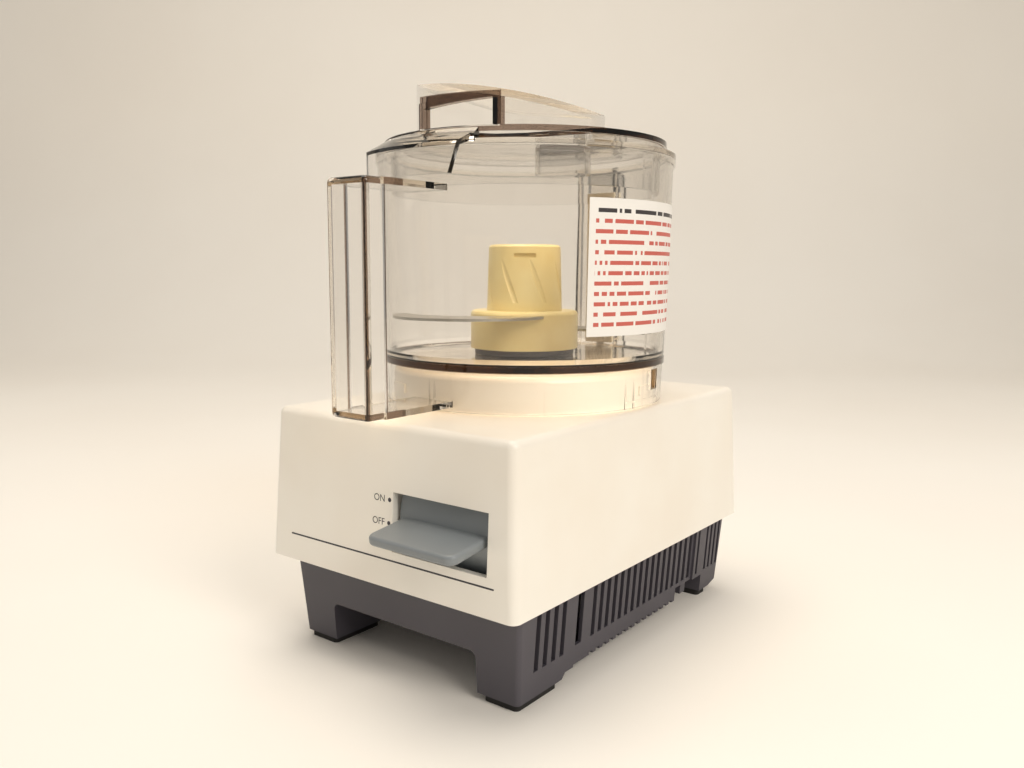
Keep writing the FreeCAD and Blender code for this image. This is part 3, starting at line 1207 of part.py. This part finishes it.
# ---- assembly and export -----------------------------------------------------------------------
def all_nodes():
    return {
        "housing": housing(),
        "base_tray": base_tray(),
        "rubber_feet": rubber_feet(),
        "base_screws": base_screws(),
        "cord_grommet": cord_grommet(),
        "motor_mounts": motor_mounts(),
        "motor_lower_bracket": motor_lower_bracket(),
        "motor_upper_bracket": motor_upper_bracket(),
        "stator_core": stator_core(),
        "stator_windings": stator_windings(),
        "motor_bolts": motor_bolts(),
        "lower_bearing": bearing(lower_bearing_z(), SHAFT_RADIUS + RUN_FIT),
        "upper_bearing": bearing(upper_bearing_z(), SHAFT_RADIUS + RUN_FIT),
        "shaft_seal": shaft_seal(),
        "run_capacitor": run_capacitor(),
        "capacitor_clamp": capacitor_clamp(),
        "terminal_block": terminal_block(),
        "lever_pin": lever_pin(),
        "lever_spring": lever_spring(),
        "slide_switch": slide_switch(),
        "switch_screws": switch_screws(),
        "interlock_switch": interlock_switch(),
        "button_spring": button_spring(),
        "switch_lever": switch_lever(),
        "switch_actuator": switch_actuator(),
        "interlock_button": interlock_button(),
        "motor_shaft": motor_shaft(),
        "rotor_core": rotor_core(),
        "cooling_fan": cooling_fan(),
        "work_bowl": work_bowl(),
        "bowl_label": bowl_label(),
        "rod_spring": rod_spring(),
        "interlock_rod": interlock_rod(),
        "blade_hub": blade_hub(),
        "upper_blade": upper_blade(),
        "lower_blade": lower_blade(),
        "hub_ring": hub_ring(),
        "lid": lid(),
    }


def export(nodes):
    """Write one STEP per node, with the origin below the middle of the whole."""
    whole = FreeCAD.BoundBox()
    for shape in nodes.values():
        whole.add(shape.optimalBoundingBox(False, False))
    shift = Vector(-whole.Center.x, -whole.Center.y, -whole.ZMin)
    os.makedirs("parts", exist_ok=True)
    for name, shape in nodes.items():
        shape.translate(shift)
        shape.exportStep(os.path.join("parts", name + ".step"))
        print(name, len(shape.Solids), shape.isValid(), round(shape.Volume, 1))
    print("shift", [round(value, 4) for value in shift])
    print("size", [round(value, 3) for value in (whole.XLength, whole.YLength, whole.ZLength)])
    print("pivot", round(PIVOT_Y + shift.y, 4), round(PIVOT_Z + shift.z, 4))
    print("spindle", round(shift.x, 4), round(shift.y, 4))


export(all_nodes())
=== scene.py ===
import bpy
import bmesh
import math
from mathutils import Matrix, Vector


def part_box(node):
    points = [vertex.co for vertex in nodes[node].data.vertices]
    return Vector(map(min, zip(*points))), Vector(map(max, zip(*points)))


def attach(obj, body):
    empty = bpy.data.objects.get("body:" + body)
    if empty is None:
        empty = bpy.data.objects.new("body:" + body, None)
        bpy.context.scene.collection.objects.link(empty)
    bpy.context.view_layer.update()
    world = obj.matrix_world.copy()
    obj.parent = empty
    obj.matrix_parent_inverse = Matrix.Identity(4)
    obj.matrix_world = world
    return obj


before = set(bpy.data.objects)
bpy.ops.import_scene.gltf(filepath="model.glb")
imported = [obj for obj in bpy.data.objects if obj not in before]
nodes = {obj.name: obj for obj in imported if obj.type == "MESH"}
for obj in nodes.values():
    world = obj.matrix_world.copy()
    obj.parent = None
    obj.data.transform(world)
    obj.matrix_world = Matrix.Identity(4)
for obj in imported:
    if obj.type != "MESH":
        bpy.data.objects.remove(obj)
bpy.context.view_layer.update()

# ---- 1. Motor housing -------------------------------------------------------------------
# Warm white ABS shell, injection moulded in one piece with the round bowl seat on top.
# The tool was polished, so it shines softly, and years of kitchen light have yellowed it.


def colour(code):
    """sRGB hex to the linear RGBA that Blender's sockets take."""
    channels = [int(code[i:i + 2], 16) / 255 for i in (0, 2, 4)]
    linear = [c / 12.92 if c <= 0.04045 else ((c + 0.055) / 1.055) ** 2.4 for c in channels]
    return (*linear, 1.0)


def new_material(name):
    material = bpy.data.materials.new(name)
    material.use_nodes = True
    material.node_tree.nodes.clear()
    return material, material.node_tree


def add(tree, kind, settings=None, **sockets):
    """Adds a node with its settings. A socket, by name or as i and number, takes a value or a link."""
    node = tree.nodes.new(kind)
    for key, value in (settings or {}).items():
        setattr(node, key, value)
    for key, value in sockets.items():
        slot = int(key[1:]) if key[0] == "i" and key[1:].isdigit() else key.replace("_", " ")
        if isinstance(value, bpy.types.NodeSocket):
            tree.links.new(value, node.inputs[slot])
        else:
            node.inputs[slot].default_value = value
    return node


def paint(node_name, material):
    """Gives a CAD node its finish."""
    slots = nodes[node_name].data.materials
    slots.clear()
    slots.append(material)


def moulded_plastic(name, low, high, roughness, grain_mm, depth_mm, patch_mm=60.0):
    """Injection-moulded plastic: slow colour drift, the tool's grain as bump, uneven gloss."""
    material, tree = new_material(name)
    place = add(tree, "ShaderNodeTexCoord")
    drift = add(tree, "ShaderNodeTexNoise", Scale=1000 / patch_mm, Detail=3.0, Vector=place.outputs["Object"])
    tint = add(tree, "ShaderNodeValToRGB", Fac=drift.outputs["Fac"])
    for stop, position, code in ((0, 0.3, low), (1, 0.7, high)):
        tint.color_ramp.elements[stop].position = position
        tint.color_ramp.elements[stop].color = colour(code)
    grain = add(tree, "ShaderNodeTexNoise", Scale=1000 / grain_mm, Detail=2.0, Vector=place.outputs["Object"])
    bump = add(tree, "ShaderNodeBump", Strength=0.6, Distance=depth_mm / 1000, Height=grain.outputs["Fac"])
    gloss = add(tree, "ShaderNodeMapRange", To_Min=roughness - 0.04, To_Max=roughness + 0.05,
                Value=drift.outputs["Fac"])
    shader = add(tree, "ShaderNodeBsdfPrincipled", IOR=1.53, Base_Color=tint.outputs["Color"],
                 Roughness=gloss.outputs["Result"], Normal=bump.outputs["Normal"])
    add(tree, "ShaderNodeOutputMaterial", Surface=shader.outputs["BSDF"])
    return material


housing_abs = moulded_plastic("moulded_white_abs", "F4EDE1", "F9F5EC", 0.30, 1.1, 0.012)
paint("housing", housing_abs)

# ---- 2. Marks on the housing's front ----------------------------------------------------------
# Pad-printed in dark grey ink: a fine rule along the front's foot, and the switch's two
# positions, each with its dot. The ink is matt and lies a few hundredths of a mm proud.
INK_PROUD = 0.00004
FRONT_LEAN = 0.050
RULE_LEFT = -0.0554
RULE_RIGHT = 0.0589
RULE_HEIGHT = 0.0527
RULE_WIDTH = 0.0007
END_STEPS = 8
ON_HEIGHT = 0.0772
OFF_HEIGHT = 0.0677
DOT_RADIUS = 0.0009
DOT_STEPS = 24
LETTER_SIZE = 0.0040
LETTERS_RIGHT = 0.0022
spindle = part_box("motor_shaft")
spindle_x = (spindle[0].x + spindle[1].x) / 2
spindle_y = (spindle[0].y + spindle[1].y) / 2
housing_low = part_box("housing")[0]
lean = math.atan(FRONT_LEAN)
front_plane = Matrix(((1, 0, 0), (0, math.sin(lean), -math.cos(lean)), (0, math.cos(lean), math.sin(lean))))


def front_place(x, z):
    """Where a mark lies on the leaning front, from its x off the spindle and its height."""
    y = housing_low.y + FRONT_LEAN * (z - housing_low.z) - INK_PROUD
    return Matrix.Translation((spindle_x + x, y, z)) @ front_plane.to_4x4()


def arc_points(form, place, radius, first_turn, last_turn, steps):
    """Points of an arc on the front, turn by turn in degrees."""
    points = []
    for step in range(steps + 1):
        turn = math.radians(first_turn + (last_turn - first_turn) * step / steps)
        points.append(form.verts.new(place @ Vector((radius * math.cos(turn), radius * math.sin(turn), 0))))
    return points


mark_ink = moulded_plastic("pad_printed_grey_ink", "2E2C33", "3D3A42", 0.62, 0.4, 0.004, 8.0)
form = bmesh.new()
half = RULE_WIDTH / 2
right_end = arc_points(form, front_place(RULE_RIGHT - half, RULE_HEIGHT), half, -90, 90, END_STEPS)
left_end = arc_points(form, front_place(RULE_LEFT + half, RULE_HEIGHT), half, 90, 270, END_STEPS)
form.faces.new(right_end + left_end)
for dot_x, dot_z in ((0.0047, ON_HEIGHT), (0.0045, OFF_HEIGHT)):
    last_turn = 360 - 360 / DOT_STEPS
    form.faces.new(arc_points(form, front_place(dot_x, dot_z), DOT_RADIUS, 0, last_turn, DOT_STEPS - 1))
print_mesh = bpy.data.meshes.new("printed_rule_and_dots")
form.to_mesh(print_mesh)
form.free()
for face in print_mesh.polygons:
    face.use_smooth = True
print_mesh.materials.append(mark_ink)
rule_and_dots = bpy.data.objects.new("printed_rule_and_dots", print_mesh)
bpy.context.scene.collection.objects.link(rule_and_dots)
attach(rule_and_dots, "base")
for name, word, z in (("on_mark", "ON", ON_HEIGHT), ("off_mark", "OFF", OFF_HEIGHT)):
    letters = bpy.data.curves.new(name, "FONT")
    letters.body = word
    letters.size = LETTER_SIZE
    letters.align_x = "RIGHT"
    letters.align_y = "CENTER"
    letters.materials.append(mark_ink)
    mark = bpy.data.objects.new(name, letters)
    bpy.context.scene.collection.objects.link(mark)
    mark.matrix_world = front_place(LETTERS_RIGHT, z)
    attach(mark, "base")

# ---- 3. Base tray -------------------------------------------------------------------------
# Charcoal ABS tray with four legs and a comb of vent slots, moulded in a spark-eroded
# tool: a fine matt grain that scatters the light. The fan and the hub's ring are the same.
tray_abs = moulded_plastic("spark_grain_charcoal_abs", "434048", "4D4A52", 0.50, 0.5, 0.05)
for name in ("base_tray", "cooling_fan", "hub_ring"):
    paint(name, tray_abs)

# ---- 4. Pads, cord bush, motor bushes and seal ------------------------------------------------
# Black rubber parts, compression moulded and pressed into place. They are dull, with a
# slightly uneven surface that spreads what little they shine.
black_rubber = moulded_plastic("compression_moulded_rubber", "161515", "24221F", 0.78, 0.7, 0.05, 12.0)
for name in ("rubber_feet", "cord_grommet", "motor_mounts", "shaft_seal"):
    paint(name, black_rubber)

# ---- 5. Screws, bolts, clamp and springs ------------------------------------------------------
# Drawn and rolled steel with a bright zinc plate. Fine tool marks run round the parts and
# spread the highlight.


def metal(name, low, high, roughness, scratch_mm, stretch, depth_mm):
    """Bare metal with tool marks, squeezed or drawn out along the axes by the stretch."""
    material, tree = new_material(name)
    place = add(tree, "ShaderNodeTexCoord")
    spread = add(tree, "ShaderNodeMapping", Scale=stretch, Vector=place.outputs["Object"])
    marks = add(tree, "ShaderNodeTexNoise", Scale=1000 / scratch_mm, Detail=4.0,
                Vector=spread.outputs["Vector"])
    tint = add(tree, "ShaderNodeValToRGB", Fac=marks.outputs["Fac"])
    tint.color_ramp.elements[0].color = colour(low)
    tint.color_ramp.elements[1].color = colour(high)
    gloss = add(tree, "ShaderNodeMapRange", To_Min=roughness - 0.06, To_Max=roughness + 0.10,
                Value=marks.outputs["Fac"])
    bump = add(tree, "ShaderNodeBump", Strength=0.4, Distance=depth_mm / 1000, Height=marks.outputs["Fac"])
    shader = add(tree, "ShaderNodeBsdfPrincipled", Metallic=1.0, Base_Color=tint.outputs["Color"],
                 Roughness=gloss.outputs["Result"], Normal=bump.outputs["Normal"])
    add(tree, "ShaderNodeOutputMaterial", Surface=shader.outputs["BSDF"])
    return material


zinc_steel = metal("zinc_plated_steel", "9D9C98", "C2C0BA", 0.34, 0.6, (1, 1, 4), 0.01)
for name in ("base_screws", "motor_bolts", "capacitor_clamp", "lever_spring", "switch_screws",
             "button_spring", "rod_spring"):
    paint(name, zinc_steel)

# ---- 6. Motor, capacitor, terminals and switches ----------------------------------------------
# Die-cast brackets, a stack of varnished steel laminations, enamelled copper windings and a
# ground spindle that runs in two ball bearings, with the moulded electrical parts beside it.

# Die-cast aluminium: a coarse, dull cast skin.
cast_aluminium = metal("die_cast_aluminium", "8F9092", "A9AAAB", 0.48, 1.6, (1, 1, 1), 0.05)
for name in ("motor_lower_bracket", "motor_upper_bracket"):
    paint(name, cast_aluminium)
# Ground steel: bright, with marks that run round the spindle.
ground_steel = metal("ground_spindle_steel", "A7A6A4", "C6C5C2", 0.24, 0.4, (1, 1, 12), 0.008)
for name in ("motor_shaft", "lower_bearing", "upper_bearing", "lever_pin"):
    paint(name, ground_steel)
# Varnished sheet steel, stamped and stacked: dark, with fine lines between the sheets.
laminations = metal("varnished_lamination_steel", "4A4744", "6A6661", 0.45, 0.5, (0.02, 0.02, 3), 0.08)
for name in ("stator_core", "rotor_core"):
    paint(name, laminations)
# Enamelled copper wire: warm brown, with the ridges of its turns.
copper_enamel = metal("enamelled_copper_wire", "8A4A22", "B86C35", 0.35, 0.8, (1, 1, 3), 0.15)
paint("stator_windings", copper_enamel)
# Drawn aluminium can: pale and smooth, with faint streaks from the drawing.
drawn_can = metal("drawn_aluminium_can", "B4B4B2", "CDCDCA", 0.30, 0.5, (0.1, 1, 1), 0.01)
paint("run_capacitor", drawn_can)
# Moulded nylon: ivory and waxy.
ivory_nylon = moulded_plastic("moulded_ivory_nylon", "DAD2BC", "E6DECB", 0.42, 0.9, 0.02)
for name in ("terminal_block", "switch_actuator", "interlock_button", "interlock_rod"):
    paint(name, ivory_nylon)
# Moulded phenolic: near black, with a dull shine.
black_phenolic = moulded_plastic("moulded_black_phenolic", "1A1918", "262422", 0.40, 0.8, 0.02)
for name in ("slide_switch", "interlock_switch"):
    paint(name, black_phenolic)

# ---- 7. Switch lever ----------------------------------------------------------------------------
# Blue-grey ABS rocker with a finger paddle and a curved shield that closes the opening
# behind it. It was moulded with a satin surface, so its highlights are broad and soft.
lever_abs = moulded_plastic("satin_blue_grey_abs", "7C8286", "888E92", 0.36, 0.7, 0.02)
paint("switch_lever", lever_abs)

# ---- 8. Work bowl and lid -----------------------------------------------------------------------
# Clear polycarbonate with a smoky amber tint, injection moulded with polished walls. Its rims and cut edges
# look dark brown, because the light travels a long way through the tint there, so that dark brown is painted on
# them as shade.
SKIN = 0.0001
SKIRT_TALL = 0.017
BOWL_FLOOR = 0.0025
FLOOR_RIM_INNER = 0.0657
FLOOR_RIM_OUTER = 0.0668
GRIP_DEPTH = 0.0104
GRIP_SIDE = 0.0094
GRIP_REACH = 0.02
GRIP_LINE = 0.0006
GRIP_CORNER = 0.0014
LID_RISE = 0.0078
LID_WALL = 0.0023
LID_RADIUS = 0.0648
LID_LINE = 0.0004
MOUTH_LEFT = -0.0060
MOUTH_RIGHT = 0.0305
MOUTH_TALL = 0.0132
MOUTH_INSIDE = 0.0030
MOUTH_OUTSIDE = 0.0010
RIPPLE_MM = 35.0
bowl_low, bowl_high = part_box("work_bowl")
floor_z = bowl_low.z + SKIRT_TALL
grip_front = bowl_low.y - spindle_y
grip_edge = grip_front + GRIP_DEPTH
lid_top = bowl_high.z + LID_RISE


def between(tree, value, low, high):
    """One where a socket's value lies between two numbers, and nothing elsewhere."""
    over = add(tree, "ShaderNodeMath", {"operation": "GREATER_THAN"}, i0=value, i1=low)
    under = add(tree, "ShaderNodeMath", {"operation": "LESS_THAN"}, i0=value, i1=high)
    return where_all(tree, over.outputs["Value"], under.outputs["Value"])


def where_all(tree, mask, *others):
    """One where every mask is one."""
    for other in others:
        mask = add(tree, "ShaderNodeMath", {"operation": "MULTIPLY"}, i0=mask, i1=other).outputs["Value"]
    return mask


def where_any(tree, mask, *others):
    """One where at least one mask is one."""
    for other in others:
        mask = add(tree, "ShaderNodeMath", {"operation": "MAXIMUM"}, i0=mask, i1=other).outputs["Value"]
    return mask


def spindle_axes(tree, place):
    """The level offset from the spindle, its length, its x and y, and the height."""
    offset = add(tree, "ShaderNodeVectorMath", {"operation": "SUBTRACT"}, i0=place.outputs["Object"],
                 i1=(spindle_x, spindle_y, 0))
    level = add(tree, "ShaderNodeVectorMath", {"operation": "MULTIPLY"}, i0=offset.outputs["Vector"],
                i1=(1, 1, 0))
    radius = add(tree, "ShaderNodeVectorMath", {"operation": "LENGTH"}, i0=level.outputs["Vector"])
    axes = add(tree, "ShaderNodeSeparateXYZ", Vector=offset.outputs["Vector"])
    return (level.outputs["Vector"], radius.outputs["Value"], axes.outputs["X"], axes.outputs["Y"],
            axes.outputs["Z"])


def bowl_rim_painted_shade(tree, radius, x, y, z):
    """Lines of painted shade on the bowl: the floor's rim, and the grip's free edges and front corners."""
    floor_rim = where_all(tree, between(tree, z, floor_z - SKIN, floor_z + BOWL_FLOOR + SKIN),
                          between(tree, radius, FLOOR_RIM_INNER, FLOOR_RIM_OUTER))
    off_middle = add(tree, "ShaderNodeMath", {"operation": "ABSOLUTE"}, i0=x)
    side = between(tree, off_middle.outputs["Value"], GRIP_SIDE, GRIP_REACH)
    free_edge = between(tree, y, grip_edge - GRIP_LINE, grip_front + GRIP_REACH)
    corner = between(tree, y, grip_front - GRIP_CORNER, grip_front + GRIP_CORNER)
    return where_any(tree, floor_rim, where_all(tree, side, where_any(tree, free_edge, corner)))


def lid_rim_painted_shade(tree, radius, x, y, z):
    """Lines of painted shade on the lid: the disc's rim, and the lip of the chute's mouth at the front."""
    disc_rim = where_all(tree, between(tree, z, lid_top - LID_WALL, lid_top + SKIN),
                         between(tree, radius, LID_RADIUS - LID_LINE, LID_RADIUS + LID_LINE))
    mouth = where_all(tree, between(tree, z, lid_top + 2 * SKIN, lid_top + MOUTH_TALL),
                      between(tree, x, MOUTH_LEFT, MOUTH_RIGHT),
                      between(tree, radius, LID_RADIUS - MOUTH_INSIDE, LID_RADIUS + MOUTH_OUTSIDE),
                      between(tree, y, -2 * LID_RADIUS, 0.0))
    return where_any(tree, disc_rim, mouth)


def clear_plastic(name, edges):
    """Polycarbonate; the given mask builder picks the rims that get painted dark shade, from the spindle axes.
    """
    material, tree = new_material(name)
    place = add(tree, "ShaderNodeTexCoord")
    ripple = add(tree, "ShaderNodeTexNoise", Scale=1000 / RIPPLE_MM, Detail=2.0, Vector=place.outputs["Object"])
    bump = add(tree, "ShaderNodeBump", Strength=0.25, Distance=0.0006, Height=ripple.outputs["Fac"])
    haze = add(tree, "ShaderNodeMapRange", To_Min=0.02, To_Max=0.06, Value=ripple.outputs["Fac"])
    # The dark brown along the rims is painted shade. It stands in for the light lost in the thick tinted
    # plastic there.
    tint = add(tree, "ShaderNodeValToRGB", Fac=edges(tree, *spindle_axes(tree, place)[1:]))
    tint.color_ramp.elements[0].color = colour("FFFFFF")
    tint.color_ramp.elements[1].color = colour("5F4A3E")
    shader = add(tree, "ShaderNodeBsdfPrincipled", Transmission_Weight=1.0, IOR=1.45,
                 Base_Color=tint.outputs["Color"], Roughness=haze.outputs["Result"],
                 Normal=bump.outputs["Normal"])
    # The tint deepens with the plastic's thickness, and shadows take only a trace of it.
    smoke = add(tree, "ShaderNodeVolumeAbsorption", Color=colour("D0B16F"), Density=25.0)
    lit_through = add(tree, "ShaderNodeBsdfTransparent", Color=colour("FAF4EA"))
    ray = add(tree, "ShaderNodeLightPath")
    surface = add(tree, "ShaderNodeMixShader", i0=ray.outputs["Is Shadow Ray"], i1=shader.outputs["BSDF"],
                  i2=lit_through.outputs["BSDF"])
    add(tree, "ShaderNodeOutputMaterial", Surface=surface.outputs["Shader"], Volume=smoke.outputs["Volume"])
    return material


paint("work_bowl", clear_plastic("smoky_clear_polycarbonate_bowl", bowl_rim_painted_shade))
paint("lid", clear_plastic("smoky_clear_polycarbonate_lid", lid_rim_painted_shade))

# ---- 9. Label -----------------------------------------------------------------------------------
# Printed film stuck on the bowl's right side. Its print is only rows of plain bars: a dark
# heading row and rows of red bars below it, with breaks as between words.
MM = 1000.0
ROW_MM = 4.2
BAR_START = 0.26
BAR_END = 0.66
LETTER_MM = 1.3
ROW_SHIFT_MM = 7.3
BREAKS = 0.22
MARGIN_MM = 3.0
FILM_RADIUS_MM = 67.5
FILM_START = -31.0
FILM_END = 30.0
FILM_GRAIN_MM = 2.0
label_low, label_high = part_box("bowl_label")
film_tall = MM * (label_high.z - label_low.z)
label_film, tree = new_material("printed_white_film")
place = add(tree, "ShaderNodeTexCoord")
level, _, x, y, z = spindle_axes(tree, place)
# Places on the film in millimetres: along it round the bowl, and down from its upper margin.
turn = add(tree, "ShaderNodeMath", {"operation": "ARCTAN2"}, i0=y, i1=x)
along = add(tree, "ShaderNodeMath", {"operation": "MULTIPLY"}, i0=turn.outputs["Value"], i1=FILM_RADIUS_MM)
drop = add(tree, "ShaderNodeMath", {"operation": "SUBTRACT"}, i0=label_high.z - MARGIN_MM / MM, i1=z)
down = add(tree, "ShaderNodeMath", {"operation": "MULTIPLY"}, i0=drop.outputs["Value"], i1=MM)
# Rows of bars, and within a row the letter-wide cells that are inked or left as a break.
lines = add(tree, "ShaderNodeMath", {"operation": "DIVIDE"}, i0=down.outputs["Value"], i1=ROW_MM)
row = add(tree, "ShaderNodeMath", {"operation": "FLOOR"}, i0=lines.outputs["Value"])
in_row = add(tree, "ShaderNodeMath", {"operation": "FRACT"}, i0=lines.outputs["Value"])
stagger = add(tree, "ShaderNodeMath", {"operation": "MULTIPLY"}, i0=row.outputs["Value"], i1=ROW_SHIFT_MM)
shifted = add(tree, "ShaderNodeMath", {"operation": "ADD"}, i0=along.outputs["Value"],
              i1=stagger.outputs["Value"])
steps = add(tree, "ShaderNodeMath", {"operation": "DIVIDE"}, i0=shifted.outputs["Value"], i1=LETTER_MM)
column = add(tree, "ShaderNodeMath", {"operation": "FLOOR"}, i0=steps.outputs["Value"])
cell = add(tree, "ShaderNodeCombineXYZ", i0=column.outputs["Value"], i1=row.outputs["Value"])
chance = add(tree, "ShaderNodeTexWhiteNoise", {"noise_dimensions": "2D"}, Vector=cell.outputs["Vector"])
word = add(tree, "ShaderNodeMath", {"operation": "GREATER_THAN"}, i0=chance.outputs["Value"], i1=BREAKS)
# Only the film's outer face is printed.
facing = add(tree, "ShaderNodeVectorMath", {"operation": "DOT_PRODUCT"}, i0=level, i1=place.outputs["Normal"])
outside = add(tree, "ShaderNodeMath", {"operation": "GREATER_THAN"}, i0=facing.outputs["Value"], i1=0.0)
marked = where_all(tree, between(tree, in_row.outputs["Value"], BAR_START, BAR_END), word.outputs["Value"],
                   between(tree, along.outputs["Value"], FILM_RADIUS_MM * math.radians(FILM_START) + MARGIN_MM,
                           FILM_RADIUS_MM * math.radians(FILM_END) - MARGIN_MM),
                   between(tree, down.outputs["Value"], 0.0, film_tall - 2 * MARGIN_MM),
                   outside.outputs["Value"])
heading = add(tree, "ShaderNodeMath", {"operation": "LESS_THAN"}, i0=row.outputs["Value"], i1=0.5)
ink = add(tree, "ShaderNodeMix", {"data_type": "RGBA"}, i0=heading.outputs["Value"], i6=colour("CB6459"),
          i7=colour("3B3738"))
film = add(tree, "ShaderNodeMix", {"data_type": "RGBA"}, i0=marked, i6=colour("F4F1EC"), i7=ink.outputs[2])
grain = add(tree, "ShaderNodeTexNoise", Scale=1000 / FILM_GRAIN_MM, Detail=2.0, Vector=place.outputs["Object"])
film_bump = add(tree, "ShaderNodeBump", Strength=0.5, Distance=0.00001, Height=grain.outputs["Fac"])
film_shader = add(tree, "ShaderNodeBsdfPrincipled", Roughness=0.42, Base_Color=film.outputs[2],
                  Normal=film_bump.outputs["Normal"])
add(tree, "ShaderNodeOutputMaterial", Surface=film_shader.outputs["BSDF"])
paint("bowl_label", label_film)

# ---- 10. Chopping blades ------------------------------------------------------------------------
# Cream acetal hub that carries two sickle blades of stainless steel. The acetal is opaque
# with a low waxy shine, and the blades show the fine marks of their grinding.
acetal = moulded_plastic("moulded_cream_acetal", "F0DC9C", "F8EAB4", 0.32, 1.0, 0.02, 18.0)
paint("blade_hub", acetal)
blade_steel = metal("ground_blade_steel", "A9A59D", "C9C5BD", 0.28, 0.5, (1, 6, 1), 0.01)
for name in ("upper_blade", "lower_blade"):
    paint(name, blade_steel)

# ---- 11. Table, backdrop, lamps and camera ------------------------------------------------------
# Plain pale card that lies on the table and curves up behind the object, a window lamp on the
# right, a broad lamp above and a faint one on the left. The Standard view keeps whites white.
VIEW_AZIMUTH = 37.426
VIEW_TILT = 7.525
VIEW_ROLL = 0.251
EYE_RIGHT = 0.2512
EYE_FRONT = 0.3377
EYE_HEIGHT = 0.1692
CARD_FRONT = -1.6
CARD_BACK = 1.0
CARD_BEND = 0.5
CARD_STEPS = 12
CARD_TOP = 2.4
CARD_SIDE = 2.6
LAMP_TONE = "FFF9F0"
azimuth = math.radians(VIEW_AZIMUTH)
profile = [(CARD_FRONT, 0.0), (CARD_BACK, 0.0)]
for step in range(1, CARD_STEPS + 1):
    bend = math.radians(90 * step / CARD_STEPS)
    profile.append((CARD_BACK + CARD_BEND * math.sin(bend), CARD_BEND - CARD_BEND * math.cos(bend)))
profile.append((CARD_BACK + CARD_BEND, CARD_TOP))
form = bmesh.new()
left_side = [form.verts.new((-CARD_SIDE, y, z)) for y, z in profile]
right_side = [form.verts.new((CARD_SIDE, y, z)) for y, z in profile]
for i in range(len(profile) - 1):
    form.faces.new((left_side[i], right_side[i], right_side[i + 1], left_side[i + 1])).smooth = True
sweep = bpy.data.meshes.new("pale_sweep")
form.to_mesh(sweep)
form.free()
pale_card = moulded_plastic("pale_card", "FCF6ED", "FFFAF2", 0.8, 3.0, 0.05, 400.0)
sweep.materials.append(pale_card)
floor = bpy.data.objects.new("pale_sweep", sweep)
bpy.context.scene.collection.objects.link(floor)
floor.matrix_world = Matrix.Rotation(azimuth, 4, "Z")
bpy.context.scene.view_settings.view_transform = "Standard"


def lamp(name, place, target, size, power):
    """A round soft lamp, turned to its target."""
    light = bpy.data.lights.new(name, "AREA")
    light.shape = "DISK"
    light.size = size
    light.energy = power
    light.color = colour(LAMP_TONE)[:3]
    holder = bpy.data.objects.new(name, light)
    bpy.context.scene.collection.objects.link(holder)
    holder.location = place
    holder.rotation_euler = (Vector(target) - Vector(place)).to_track_quat("-Z", "Y").to_euler()


lamp("window_lamp", (1.25, -0.35, 0.95), (0, 0, 0.1), 0.8, 10.8)
lamp("ceiling_lamp", (-0.2, 0.0, 1.5), (0, 0, 0.1), 1.2, 11.8)
lamp("left_lamp", (-1.1, -0.6, 0.6), (0, 0, 0.12), 0.8, 0.6)

world = bpy.data.worlds.new("room_light")
world.use_nodes = True
room = world.node_tree.nodes["Background"]
room.inputs["Color"].default_value = colour("FBF6EE")
room.inputs["Strength"].default_value = 0.36
bpy.context.scene.world = world

tilt = math.radians(VIEW_TILT)
roll = math.radians(VIEW_ROLL)
back = Vector((math.sin(azimuth) * math.cos(tilt), -math.cos(azimuth) * math.cos(tilt), math.sin(tilt)))
across = (-back).cross(Vector((0, 0, 1))).normalized()
above = across.cross(-back)
right = across * math.cos(roll) + above * math.sin(roll)
up = -across * math.sin(roll) + above * math.cos(roll)
camera = bpy.data.cameras.new("camera")
camera.lens = 31.0
camera.sensor_width = 36.0
camera.clip_end = 20.0
eye = bpy.data.objects.new("camera", camera)
bpy.context.scene.collection.objects.link(eye)
turned = Matrix((right, up, back)).transposed().to_4x4()
eye.matrix_world = Matrix.Translation((spindle_x + EYE_RIGHT, spindle_y - EYE_FRONT, EYE_HEIGHT)) @ turned
bpy.context.scene.camera = eye
